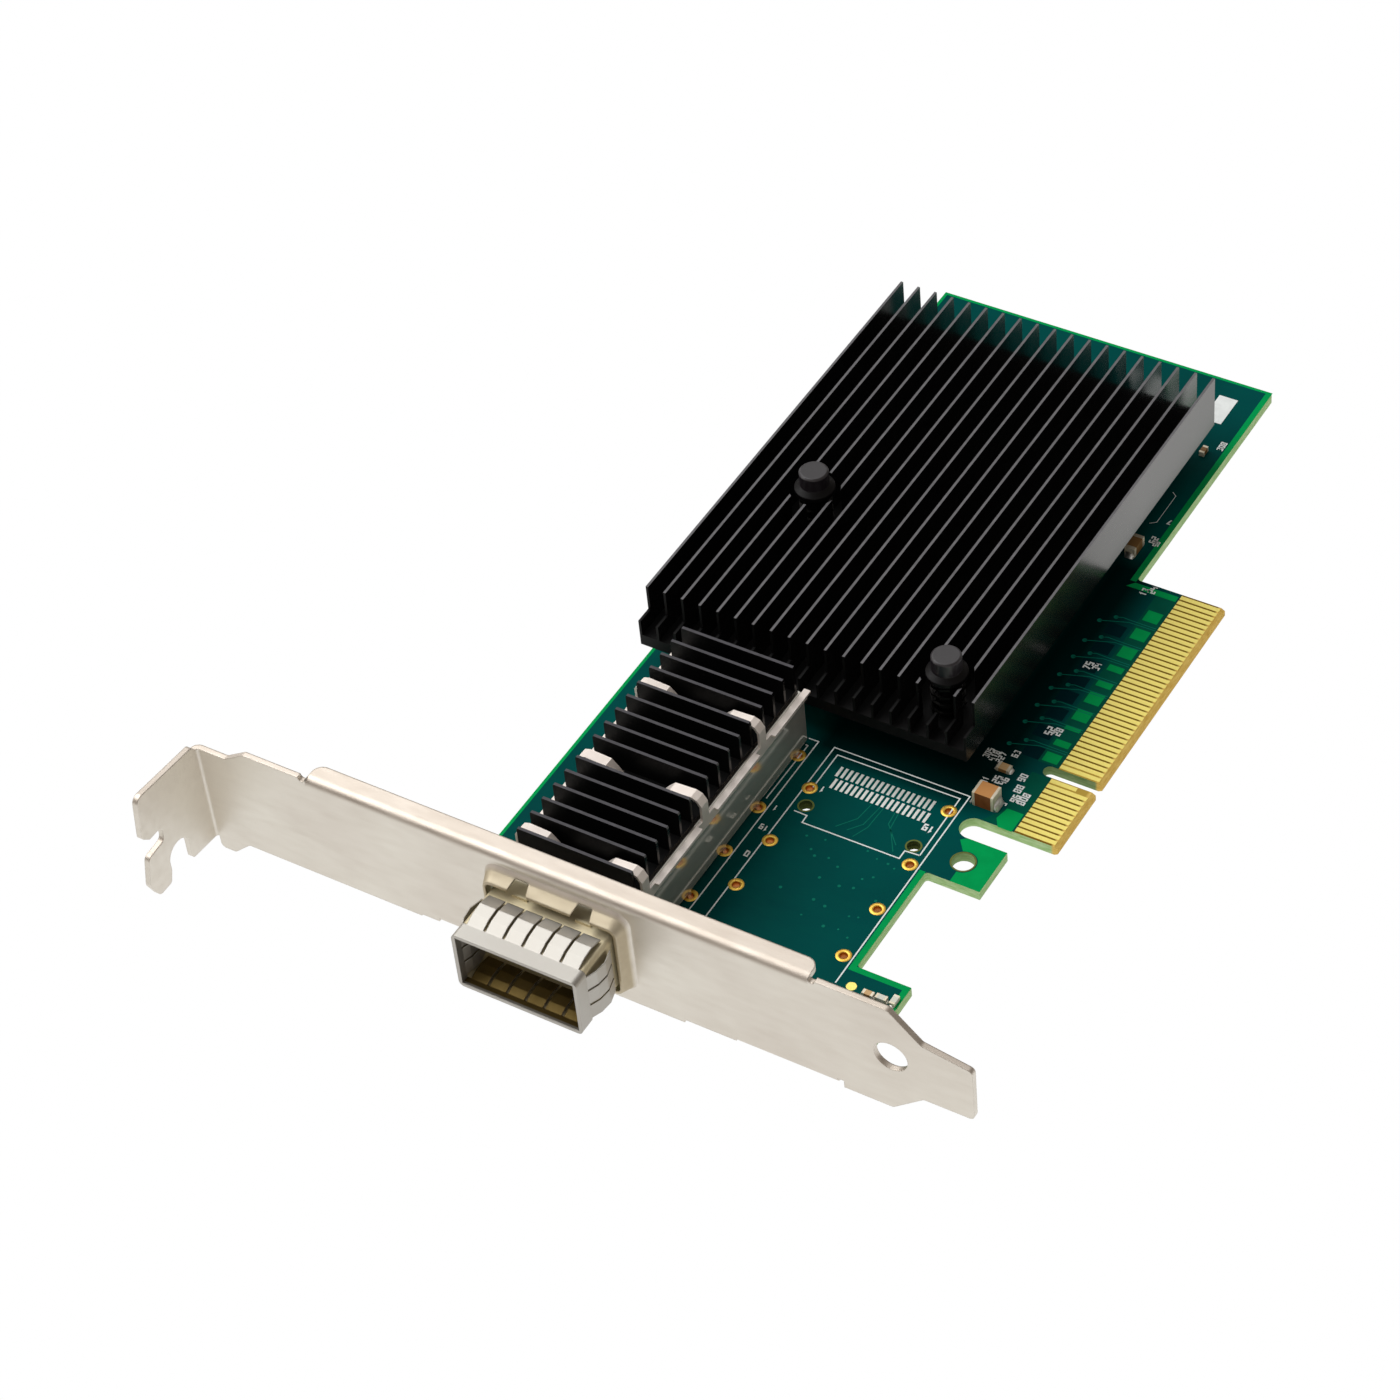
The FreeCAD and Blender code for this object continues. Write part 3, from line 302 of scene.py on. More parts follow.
def anodised(name, colour, edge, rough):
    """Black-nickel sheet: glossy fins, matt ends and floors with painted shade, top edges with a painted
    highlight.
    """
    p = Paint(name, colour, rough=rough)
    p.shader.inputs["IOR"].default_value = 2.0
    streak = p.noise(160.0, 3.0, stretch=(0.15, 1.0, 1.0), seed=1.7)
    face = p.mix(p.ramp(streak, 0.3, 0.7), scaled(colour, 0.6), colour)
    up = p.upward(0.75, 0.9)
    high = p.past("Z", *FIN_EDGE_Z)
    highlight_grain = p.ramp(p.noise(900.0, 2.0), 0.3, 0.7, 0.75, 1.0)
    end = p.ramp(p.math("ABSOLUTE", p.facing("X")), 0.3, 0.5)
    floor = p.both(up, p.math("SUBTRACT", 1.0, high))
    # Painted shade: the fin ends and the floors between the fins are painted near black.
    face = p.mix(p.both(p.either(end, floor), 0.75), face, srgb(2, 2, 2))
    # Painted highlight: the up-facing top edges take the paler edge colour, broken by a fine grain.
    p.colour(p.mix(p.both(p.both(up, high), highlight_grain), face, edge))
    p.rough(p.math("ADD", p.ramp(up, 0.0, 1.0, rough, 0.5), p.ramp(end, 0.0, 1.0, 0.0, 0.3)))
    # Matt too on the sides towards the contacts, near the front push pin.
    near_pin = p.ramp(p.axis("X"), 20.0 * MM, 45.0 * MM, 0.8, 0.0)
    side = p.both(p.ramp(p.facing("Y"), -0.7, -0.5, 1.0, 0.0), near_pin)
    matt = p.either(side, p.either(up, end))
    p.gloss(p.ramp(matt, 0.0, 1.0, 0.6, 0.06))
    p.bump(p.noise(400.0, 2.0), 0.02, 0.00001)
    return p


def moulded(name, colour, rough=0.4, specular=0.5):
    """Moulded or fired material: slightly uneven tone and a very fine grain."""
    p = Paint(name, colour, rough=rough, specular=specular)
    fine = p.noise(1800.0, 2.0)
    p.colour(p.mix(p.ramp(p.noise(260.0, 3.0), 0.35, 0.7), colour, scaled(colour, 1.25, 0.004)))
    p.rough(p.ramp(fine, 0.3, 0.7, rough * 0.85, rough * 1.15))
    p.bump(fine, 0.3, 0.00002)
    return p


def pin_nylon():
    """Black nylon, glossy on the pin's head; the dull cap and shaft below it are painted darker as shade."""
    p = moulded("black_nylon", srgb(26, 21, 26), 0.36, 0.8)
    head = p.past("Z", *PIN_HEAD_Z)
    # Painted shade: below the head the nylon is painted darker.
    p.colour(p.mix(head, srgb(8, 7, 8), srgb(27, 22, 27)))
    p.gloss(p.ramp(head, 0.0, 1.0, 0.15, 0.8))
    p.soften(0.0002, 4)
    return p


def mask_board():
    """Solder-masked laminate: teal faces, pale fibre on cut edges, ochre tip at the contacts."""
    p = Paint("board_mask", srgb(0, 74, 73), rough=0.3, specular=0.015)
    cloud = p.noise(28.0, 3.0, seed=0.9)
    face = p.mix(p.ramp(cloud, 0.3, 0.7), srgb(0, 64, 64), srgb(0, 83, 80))
    weave = p.noise(700.0, 2.0, stretch=(1.0, 0.35, 1.0))
    face = p.mix(p.ramp(weave, 0.3, 0.8, 0.0, 0.16), face, srgb(0, 92, 78))

    # Painted shade on the mask beside the large heatsink and under its front edge.
    beside = p.both(p.span("X", -9.0, 43.0, 2.5), p.span("Y", 11.7, 20.0, 2.5))
    before = p.both(p.span("X", -11.2, 8.0, 2.0), p.span("Y", 13.0, 40.0, 2.5))
    face = p.mix(p.both(p.either(beside, before), 0.85), face, srgb(0, 10, 12))

    # Bare laminate between the contacts, paler round the key notch, and on the tip below them.
    within = p.both(p.past("X", CONTACTS_LOW[0] - 0.6, CONTACTS_LOW[0] - 0.5),
                    p.short_of("X", CONTACTS_HIGH[0] + 0.5, CONTACTS_HIGH[0] + 0.6))
    root = CONTACTS_HIGH[1]
    between = p.both(within, p.short_of("Y", root, root + 0.05))
    tint = p.mix(p.span("X", -2.2, 2.2), srgb(132, 102, 34), srgb(196, 164, 74))
    face = p.mix(between, face, tint)
    tip = p.both(within, p.short_of("Y", 0.7, 1.1))

    # Cut edges, darker in the drilled holes and duller in the key notch.
    speck = p.ramp(p.noise(600.0, 2.0, stretch=(1.0, 1.0, 6.0)), 0.3, 0.7)
    pegs = p.either(*[p.around(x, y, PEG_HOLE_R + 0.36) for x, y in PEG_HOLES])
    drilled = p.either(pegs, p.both(p.around(*HOOK_HOLE, HOOK_HOLE_R + 0.3), 0.4))
    notch = p.both(p.span("X", -1.2, 1.2), 0.55)
    pale = p.mix(speck, srgb(160, 200, 130), srgb(198, 224, 172))
    dark_fibre = p.mix(speck, srgb(46, 58, 22), srgb(84, 92, 44))
    fibre = p.mix(p.either(drilled, notch), pale, dark_fibre)
    ochre = p.mix(speck, srgb(222, 180, 88), srgb(244, 210, 118))

    side = p.upright(0.5, 0.8)
    p.colour(p.mix(tip, p.mix(side, face, fibre), ochre))
    p.rough(p.ramp(side, 0.0, 1.0, 0.28, 0.6))
    p.bump(weave, 0.12, 0.00001)
    return p


def flat_ink(name, colour, rough=0.45):
    """Ink or mask printed flat on the board."""
    p = Paint(name, colour, rough=rough, specular=0.02)
    p.colour(p.mix(p.ramp(p.noise(500.0, 3.0), 0.3, 0.75), scaled(colour, 0.86), colour))
    p.bump(p.noise(1300.0, 2.0), 0.15, 0.00001)
    return p


def cage_sheet():
    """Bright stamped sheet, polished along the box, satin and warmer round the mouth."""
    p = Paint("cage_plating", srgb(236, 232, 222), metallic=0.86, rough=0.1)
    mottle = p.ramp(p.noise(70.0, 4.0, seed=0.3), 0.35, 0.7)
    mouth = p.short_of("X", *MOUTH_X)
    polished = p.mix(mottle, srgb(222, 219, 210), srgb(236, 233, 224))
    p.colour(p.mix(mouth, polished, p.mix(mottle, srgb(206, 194, 160), srgb(222, 210, 178))))
    p.metal(p.ramp(mouth, 0.0, 1.0, 0.66, 0.6))
    p.rough(p.ramp(mouth, 0.0, 1.0, 0.1, 0.45))
    p.bump(p.noise(900.0, 2.0), 0.02, 0.00001)
    return p


def gasket_sheet():
    """Soft satin spring sheet; the low inner fingers in the mouth are painted dark olive as shade."""
    p = Paint("spring_plating", srgb(216, 206, 188), metallic=0.88, rough=0.42)
    mottle = p.ramp(p.noise(90.0, 4.0, seed=0.6), 0.35, 0.7)
    satin = p.mix(mottle, srgb(177, 173, 166), srgb(190, 187, 180))
    # Painted shade: the low, up-facing inner fingers deep in the mouth are painted dark olive.
    low = p.both(p.short_of("Z", *INNER_FINGER_Z), p.both(p.upward(0.0, 0.2), p.past("X", *INNER_FINGER_X)))
    p.colour(p.mix(low, satin, p.mix(mottle, srgb(104, 86, 44), srgb(150, 128, 78))))
    p.rough(p.ramp(mottle, 0.0, 1.0, 0.38, 0.46))
    p.bump(p.noise(900.0, 2.0), 0.03, 0.00001)
    p.soften(0.00022, 8)
    return p


def bracket_sheet():
    """Plated steel, faint rolled grain; painted shade, darker and warmer, on up faces and the duller drawn
    collar.
    """
    p = Paint("bracket_plating", srgb(231, 225, 215), metallic=1.0, rough=0.48)
    mottle = p.ramp(p.noise(50.0, 4.0, seed=0.3), 0.35, 0.7)
    flat = p.mix(mottle, srgb(222, 215, 205), srgb(232, 227, 217))
    # Painted shade: faces turned upward are painted a darker, warmer tone than the upright plate.
    flat = p.mix(p.upward(0.15, 0.6), flat, p.mix(mottle, srgb(210, 199, 186), srgb(218, 208, 197)))
    # Painted shade: the drawn collar round the port is painted darker and warmer, and made rougher.
    drawn = p.both(p.short_of("X", *COLLAR_X), p.span("Y", PORT_Y - COLLAR_HALF, PORT_Y + COLLAR_HALF))
    p.colour(p.mix(drawn, flat, p.mix(mottle, srgb(196, 184, 160), srgb(208, 197, 174))))
    fine = p.noise(900.0, 2.0, stretch=(1.0, 0.2, 1.0))
    p.rough(p.math("ADD", p.ramp(fine, 0.3, 0.7, 0.42, 0.54), p.ramp(drawn, 0.0, 1.0, 0.0, 0.12)))
    p.bump(fine, 0.06, 0.00002)
    p.soften(0.0003)
    return p


def plated_gold():
    """Bright land; the barrel inside is painted dark amber as shade."""
    p = Paint("hole_gold", srgb(255, 208, 92), metallic=0.8, rough=0.42)
    fine = p.noise(900.0, 2.0)
    land = p.mix(p.ramp(fine, 0.3, 0.7), srgb(250, 196, 76), srgb(255, 216, 104))
    # Painted shade: the upright barrel wall is painted dark amber.
    inside = p.upright(0.25, 0.6)
    p.colour(p.mix(inside, land, srgb(198, 118, 6)))
    p.metal(p.ramp(inside, 0.0, 1.0, 0.8, 0.6))
    p.bump(fine, 0.1, 0.00001)
    return p


def chip_part(node, name, body, top):
    """A node of small ceramic parts: fired bodies with painted light on top, tinned caps over both ends."""
    p = Paint(name, body, rough=0.42, specular=0.3)
    grain = p.ramp(p.noise(700.0, 3.0), 0.3, 0.7)
    # Painted light: faces turned up take the paler top colour.
    fired = p.mix(p.upward(0.5, 0.8), p.mix(grain, scaled(body, 0.75), body), top)
    margin = 0.1
    caps = None
    for part in SMALL_PARTS:
        if part.node != node:
            continue
        long, wide = (0, 1) if part.along == "X" else (1, 0)
        breadth = p.span("XY"[wide], part.low[wide] - margin, part.high[wide] + margin)
        start, end = part.low[long], part.high[long]
        for low, high in ((start - margin, start + part.cap), (end - part.cap, end + margin)):
            cap = p.both(p.span(part.along, low, high), breadth)
            caps = p.either(caps, cap) if caps else cap
    p.colour(p.mix(caps, fired, p.mix(grain, srgb(226, 214, 186), srgb(240, 232, 212))))
    p.metal(p.ramp(caps, 0.0, 1.0, 0.0, 0.45))
    p.bump(p.noise(1300.0, 2.0), 0.15, 0.00001)
    return p


gold = sheet_metal("gold_plating", srgb(255, 238, 132), 0.42, grain=0.08, metallic=0.85)
tin = sheet_metal("tinned_land", srgb(236, 236, 230), 0.4)

dress(mask_board(), "board")
dress(gold, "edge_contacts_component_side", "edge_contacts_solder_side", "module_contacts")
dress(tin, "spare_port_pads")
dress(bracket_sheet(), "bracket")
dress(sheet_metal("screw_plating", srgb(200, 198, 192), 0.3), "bracket_screws", "crystal")
dress(cage_sheet(), "module_cage")
dress(gasket_sheet(), "spring_gasket")
# The anodised paints' second colour is the painted highlight on the fins' top edges.
dress(anodised("cage_sink_anodise", srgb(8, 7, 9), srgb(84, 83, 88), 0.2), "cage_heatsink")
dress(sheet_metal("clip_plating", srgb(240, 230, 222), 0.5, grain=0.02, metallic=0.6), "heatsink_clip")
dress(moulded("black_polymer", srgb(20, 20, 20), 0.5), "module_connector")
dress(anodised("main_sink_anodise", srgb(12, 11, 12), srgb(114, 113, 116), 0.24), "main_heatsink")
dress(pin_nylon(), "front_push_pin", "rear_push_pin")
dress(sheet_metal("coil_plating", srgb(44, 43, 42), 0.35), "front_pin_spring", "rear_pin_spring")
dress(moulded("chip_package", srgb(34, 34, 36), 0.45), "controller", "flash_memory", "voltage_regulators")
dress(moulded("pad_grey", srgb(150, 154, 160), 0.8), "thermal_pad")
dress(moulded("ferrite_grey", srgb(72, 72, 76), 0.7), "power_inductors")
dress(moulded("tan_ceramic", srgb(204, 136, 74), 0.4, 0.3), "solder_side_capacitors")
# Node, material, body colour, and the paler top colour that is painted light from above.
for node, name, body, top in (
        ("bulk_capacitor", "bulk_ceramic", srgb(132, 78, 38), srgb(206, 146, 86)),
        ("edge_capacitors", "edge_ceramic", srgb(140, 104, 60), srgb(150, 112, 66)),
        ("chip_resistors", "chip_body", srgb(170, 128, 80), srgb(214, 176, 124)),
        ("status_leds", "led_resin", srgb(214, 214, 200), srgb(226, 228, 214))):
    dress(chip_part(node, name, body, top), node)


# ---------------------------------------------------------------- pieces made here
def add_mesh(name, bm, paint, smooth=False):
    """Turns a bmesh into an object of one paint in the scene."""
    mesh = bpy.data.meshes.new(name)
    bm.to_mesh(mesh)
    bm.free()
    for poly in mesh.polygons:
        poly.use_smooth = smooth
    mesh.materials.append(paint.mat)
    obj = bpy.data.objects.new(name, mesh)
    bpy.context.scene.collection.objects.link(obj)
    return obj


def circle(x, y, radius, corners):
    """Evenly spaced points round a centre."""
    turns = [2 * math.pi * i / corners for i in range(corners)]
    return [(x + radius * math.cos(a), y + radius * math.sin(a)) for a in turns]


class Artwork:
    """Thin flat shapes gathered into one mesh at a height off a face of the board, in millimetres."""

    def __init__(self, name, paint, slot, height, under=False):
        self.name, self.paint, self.slot = name, paint, slot
        self.z = UNDER - height if under else TOP + height
        self.flip = under
        self.bm = bmesh.new()

    def face(self, points):
        corners = [self.bm.verts.new((x * MM, y * MM, self.z * MM)) for x, y in points]
        self.bm.faces.new(reversed(corners) if self.flip else corners)

    def box(self, x0, y0, x1, y1):
        self.face([(x0, y0), (x1, y0), (x1, y1), (x0, y1)])

    def disc(self, x, y, radius, corners):
        self.face(circle(x, y, radius, corners))

    def annulus(self, x, y, inner, outer, corners=32):
        near, far = circle(x, y, inner, corners), circle(x, y, outer, corners)
        for i in range(corners):
            j = (i + 1) % corners
            self.face([near[i], far[i], far[j], near[j]])

    def line(self, points, width, closed=False):
        """Strips of even width along a path, mitred at its corners."""
        pts = [Vector(p) for p in points]
        count = len(pts)
        sides = []
        for i, p in enumerate(pts):
            before = pts[i - 1] if i or closed else None
            after = pts[(i + 1) % count] if i < count - 1 or closed else None
            runs = []
            if before is not None:
                runs.append((p - before).normalized())
            if after is not None:
                runs.append((after - p).normalized())
            normals = [Vector((-r.y, r.x)) for r in runs]
            across = sum(normals, Vector((0, 0))).normalized()
            reach = width / 2 / max(0.3, across.dot(normals[0]))
            sides.append((p + across * reach, p - across * reach))
        spans = count if closed else count - 1
        for i in range(spans):
            a, b = sides[i], sides[(i + 1) % count]
            self.face([a[1], b[1], b[0], a[0]])

    def digits(self, text, x, y, height, turn=0.0):
        """Plain stroke numerals centred on a point, turned about it in degrees."""
        unit = height / 2
        step = unit * 1.75
        stroke = height * 0.25
        c, s = math.cos(math.radians(turn)), math.sin(math.radians(turn))
        for i, sign in enumerate(text):
            left = (i - (len(text) - 1) / 2) * step - unit / 2
            pts = [(left + u * unit, (v - 1) * unit) for u, v in STROKES[sign]]
            self.line([(x + u * c - v * s, y + u * s + v * c) for u, v in pts], stroke)

    def done(self):
        obj = add_mesh(self.name, self.bm, self.paint)
        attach(obj, "root")


# Each numeral on a grid one wide and two high.
STROKES = {
    "0": ((0, 0), (1, 0), (1, 2), (0, 2), (0, 0)),
    "1": ((0.2, 1.6), (0.6, 2), (0.6, 0)),
    "2": ((0, 2), (1, 2), (1, 1), (0, 1), (0, 0), (1, 0)),
    "3": ((0, 2), (1, 2), (1, 1), (0.3, 1), (1, 1), (1, 0), (0, 0)),
    "4": ((0, 2), (0, 1), (1, 1), (1, 2), (1, 0)),
    "5": ((1, 2), (0, 2), (0, 1), (1, 1), (1, 0), (0, 0)),
    "6": ((1, 2), (0, 2), (0, 0), (1, 0), (1, 1), (0, 1)),
    "7": ((0, 2), (1, 2), (0.4, 0)),
    "8": ((0, 1), (0, 2), (1, 2), (1, 0), (0, 0), (0, 1), (1, 1)),
    "9": ((1, 1), (0, 1), (0, 2), (1, 2), (1, 0), (0, 0))}

white_ink = flat_ink("white_legend", srgb(250, 255, 254))
light_mask = flat_ink("light_mask", srgb(0, 164, 86), 0.3)
mid_mask = flat_ink("mid_mask", srgb(0, 88, 70), 0.3)
deep_mask = flat_ink("deep_mask", srgb(0, 40, 46), 0.3)
trace_mask = flat_ink("trace_mask", srgb(16, 122, 102), 0.3)
hole_edge = flat_ink("bare_hole_edge", srgb(112, 122, 62), 0.5)


# ---------------------------------------------------------------- plated holes and solder
def plated_holes():
    """Gold rings on both faces with the barrel between them."""
    bm = bmesh.new()
    barrel, land = 0.56, 1.12
    profile = [(land, TOP), (1.08, TOP + 0.05), (0.74, TOP + 0.06), (0.62, TOP + 0.03), (barrel, TOP - 0.05),
               (barrel, UNDER - 0.03), (0.72, UNDER - 0.05), (1.08, UNDER - 0.04), (land, UNDER)]
    steps = 40
    for x, y in PLATED_HOLES:
        rows = [[bm.verts.new((u * MM, v * MM, z * MM)) for u, v in circle(x, y, r, steps)]
                for r, z in profile]
        for a, b in zip(rows, rows[1:]):
            for i in range(steps):
                j = (i + 1) % steps
                bm.faces.new((a[i], a[j], b[j], b[i]))
    obj = add_mesh("plated_holes", bm, plated_gold(), smooth=True)
    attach(obj, "root")


def fillets():
    """Solder ramps from each small part's ends down to its lands."""
    bm = bmesh.new()
    inset, corner, pinched = 0.06, 0.2, 0.55
    for part in SMALL_PARTS:
        if part.solder is None:
            continue
        height, reach = part.solder
        profile = [(0.0, 0.0), (reach, 0.0), (reach * 0.94, 0.08), (reach * 0.45, height * 0.36),
                   (0.02, height)]
        long, wide = (0, 1) if part.along == "X" else (1, 0)
        low, high = part.low[wide] + inset, part.high[wide] - inset
        for end, away in ((part.low[long], -1), (part.high[long], 1)):
            rows = []
            for side, pinch in ((low, pinched), (low + corner, 1.0), (high - corner, 1.0), (high, pinched)):
                row = []
                for out, up in profile:
                    at = end + away * (out * pinch + 0.01)
                    x, y = (at, side) if part.along == "X" else (side, at)
                    row.append(bm.verts.new((x * MM, y * MM, (TOP + 0.01 + up * pinch) * MM)))
                rows.append(row)
            for first, second in zip(rows, rows[1:]):
                for i in range(len(first)):
                    j = (i + 1) % len(first)
                    bm.faces.new((first[i], first[j], second[j], second[i]))
            bm.faces.new(rows[0][::-1])
            bm.faces.new(rows[-1])
    bmesh.ops.recalc_face_normals(bm, faces=bm.faces)
    obj = add_mesh("solder_fillets", bm, tin, smooth=True)
    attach(obj, "root")


# ---------------------------------------------------------------- component face
def bare_rim():
    """Lighter mask along the board's edges and over the hook."""
    rim = Artwork("bare_rim", light_mask, "board_green", 0.010)
    wide, thin = 0.9, 0.5
    near, far, upper = BOARD_LOW[0], BOARD_HIGH[0], BOARD_HIGH[1]
    shelf = SHOULDER_Y + wide

    rim.box(near, FOOT_Y, LEG_X, FOOT_Y + wide)
    rim.face([(LEG_X - wide, FOOT_Y + wide), (LEG_X, FOOT_Y + wide), (LEG_X, SHOULDER_Y),
              (LEG_X - wide, shelf)])
    rim.face([(LEG_X - wide, shelf), (LEG_X, SHOULDER_Y), (HOOK_LEFT, SHOULDER_Y), (HOOK_LEFT, shelf)])
    rim.box(near, upper - thin, far, upper)
    rim.face([(far - thin, shelf), (far, SHOULDER_Y), (far, upper - thin), (far - thin, upper - thin)])

    # Beyond the contacts: up the contact tab's end, then along the shoulder.
    tab_inner, tab_end, shoulder_start = 37.4, 38.5, 38.7
    rim.face([(shoulder_start, SHOULDER_Y), (far, SHOULDER_Y), (far - thin, shelf), (shoulder_start, shelf)])
    rim.face([(tab_inner, 6.9), (tab_end, 6.9), (tab_end, SHOULDER_Y), (tab_inner, shelf)])

    # The hook, round its hole.
    x, y = HOOK_HOLE
    radius = 1.95
    under_hole = [(x + radius * math.cos(a), y + radius * math.sin(a))
                  for a in (math.radians(v) for v in range(-180, 1, 12))]
    rim.face([(HOOK_LEFT, FOOT_Y), (HOOK_RIGHT, FOOT_Y), (HOOK_RIGHT, y)] + under_hole[::-1]
             + [(HOOK_LEFT, y)])
    rim.face([(x + radius, y), (HOOK_RIGHT, y), (HOOK_RIGHT, 11.6), (-16.6, 12.4),
              (x + radius * 0.87, y + radius * 0.5)])
    rim.done()


def contact_field():
    """Lighter mask where the inner layers stop beside the contacts, with darker lands between."""
    strip = Artwork("contact_border", mid_mask, "board_green", 0.008)
    strip.box(1.1, 6.7, 37.4, 9.9)
    strip.face([(-12.0, 6.7), (-1.1, 6.7), (-1.1, 9.6), (-9.0, 9.6), (-12.0, 11.5)])
    strip.done()

    patches = Artwork("contact_patches", light_mask, "board_green", 0.014)
    for x, width in ((33.2, 2.2), (29.2, 2.2), (25.2, 2.2), (21.6, 1.2), (18.2, 1.2), (15.1, 2.2),
                     (11.4, 2.2), (8.6, 0.8), (5.4, 1.2), (2.4, 1.8)):
        patches.box(x - width / 2, 7.2, x + width / 2, 9.5)
    patches.face([(-12.3, 6.9), (-10.2, 6.9), (-8.7, 6.9), (-8.7, 9.4), (-10.9, 9.9), (-12.3, 9.0)])
    patches.done()

    lands = Artwork("plane_openings", deep_mask, "board_green", 0.012)
    for x, y in ((28.6, 12.0), (24.7, 12.0), (20.7, 12.0), (17.2, 12.0), (13.9, 12.0), (10.4, 11.8),
                 (6.4, 11.7), (2.4, 11.3)):
        lands.box(x - 1.15, y - 1.4, x + 1.15, y + 1.3)
    lands.done()


def component_traces():
    """Traces and vias that show through the mask."""
    traces = Artwork("traces", trace_mask, "board_green", 0.016)
    fine, broad, via = 0.13, 0.16, 0.36

    # Two vias in each lane beside the contacts, with traces down towards the contacts.
    for lane_x, lane_y in ((31.0, 13.0), (26.5, 13.05), (22.9, 13.0), (18.9, 13.1), (16.0, 12.9),
                           (12.2, 13.1), (8.6, 13.1), (3.9, 13.1)):
        for dx, dy in ((0.0, 0.0), (-1.6, 1.8)):
            x, y = lane_x + dx, lane_y + dy
            traces.disc(x, y, via, 12)
            traces.line([(x, y), (x + 0.35, y - 0.9), (lane_x + dx * 0.3 + 0.3, 10.9),
                         (lane_x + dx * 0.25 + 0.3, 6.9)], fine)

    # A loose grid of vias inside the unused port's outline, and more scattered near the bracket.
    spots = random.Random(7)
    column_step, row_step, filled = 3.4, 1.75, 0.62
    for column in range(5):
        for row in range(9):
            if spots.random() < filled:
                traces.disc(-24.6 - column_step * column + spots.uniform(-0.9, 0.9),
                            17.6 + row_step * row + spots.uniform(-0.5, 0.5),
                            spots.uniform(0.16, 0.26), 10)
    for _ in range(12):
        traces.disc(-47.0 - spots.uniform(0, 8), 18 + spots.uniform(0, 16), 0.2, 10)

    # Fan-out from the unused port's pads.
    for route in (((-16.2, 26.2), (-19.4, 26.6), (-22.0, 28.6)),
                  ((-16.2, 24.9), (-20.0, 25.4), (-21.9, 26.9)),
                  ((-16.2, 24.4), (-20.2, 24.6), (-22.6, 25.6)),
                  ((-16.2, 22.6), (-18.4, 22.4), (-21.4, 19.6)),
                  ((-16.2, 22.1), (-18.9, 21.8), (-22.6, 19.4))):
        traces.line(route, fine)

    # Lanes along the upper edge and the far edge.
    for y in (62.5, 63.6, 64.7):
        traces.line([(-46, y), (-30, y), (-26, y + 1.2), (-11, y + 1.2)], broad)
    for x in (71.5, 73.0, 74.5):
        traces.line([(x, 26), (x, 44), (x + 2.4, 47), (x + 2.4, 60)], broad)
    traces.done()


def legend():
    """White outlines and plain numerals."""
    silk = Artwork("legend", white_ink, "board_green", 0.022)
    thick, thin = 0.2, 0.12
    for outline in (
            ((-56.4, 35.98), (-9.1, 36.03), (-9.0, 14.95), (-46.3, 14.88)),
            ((-17.0, 34.93), (-10.17, 34.95), (-9.97, 15.97), (-21.6, 15.85)),
            ((-21.95, 35.1), (-22.0, 33.05), (-23.4, 33.0), (-23.3, 18.05), (-21.75, 18.05), (-21.6, 15.85)),
            ((-9.15, 40.1), (-9.1, 38.55), (-56.4, 38.6)),
            ((-10.4, 39.9), (-10.45, 39.5), (-21.7, 39.62))):
        silk.line(outline, thick)
    silk.line([(50.5, 17.5), (51.2, 16.6), (57.4, 16.6), (58.0, 17.4)], thin)
    silk.box(74.4, 17.6, 80.3, 20.6)
    silk.line([(73.6, 21.4), (74.8, 20.4)], thin)
    for text, x, y, height in (("1", -16.7, 33.6, 0.9), ("19", -16.7, 17.2, 1.0), ("0", -31.7, 36.8, 0.9),
                               ("1", -22.6, 37.6, 0.8), ("19", -26.5, 37.2, 0.8), ("7", 52.0, 14.9, 0.9)):
        silk.digits(text, x, y, height, 90)
    for text, x, y, height in (
            ("75", 20.6, 12.1, 1.0), ("34", 20.9, 10.9, 0.9), ("52", 6.9, 11.0, 1.0), ("28", 7.2, 9.9, 0.9),
            ("305", -0.6, 16.6, 0.8), ("418", -0.7, 15.6, 0.8), ("227", -0.6, 14.6, 0.8),
            ("63", 0.9, 13.1, 0.8), ("90", -2.7, 10.2, 0.9), ("81", -5.4, 14.6, 0.8), ("25", -4.5, 13.2, 0.9),
            ("46", -4.4, 12.2, 0.9), ("88", -4.8, 9.7, 0.9), ("96", -6.6, 9.3, 0.9), ("808", -6.2, 8.2, 0.9),
            ("3", -8.2, 10.3, 0.8), ("13", 37.3, 11.7, 0.9), ("24", 38.2, 10.8, 0.9), ("62", 47.6, 15.3, 0.9),
            ("58", 47.0, 14.6, 0.7), ("308", 70.0, 15.3, 0.8)):
        silk.digits(text, x, y, height)
    silk.done()


def hole_rims():
    """Bare laminate round the unused port's peg holes and the hook's hole."""
    rings = Artwork("peg_hole_rims", hole_edge, "board_green", 0.018)
    for x, y in PEG_HOLES:
        rings.annulus(x, y, PEG_HOLE_R, 1.18)
    rings.annulus(*HOOK_HOLE, HOOK_HOLE_R, 1.82)
    rings.done()


def fiducial():
    """Gold target beside the bracket's lower ear."""
    dot = Artwork("bracket_fiducial", gold, "gold", 0.030)
    dot.disc(-45.9, 12.7, 0.72, 24)
    dot.done()


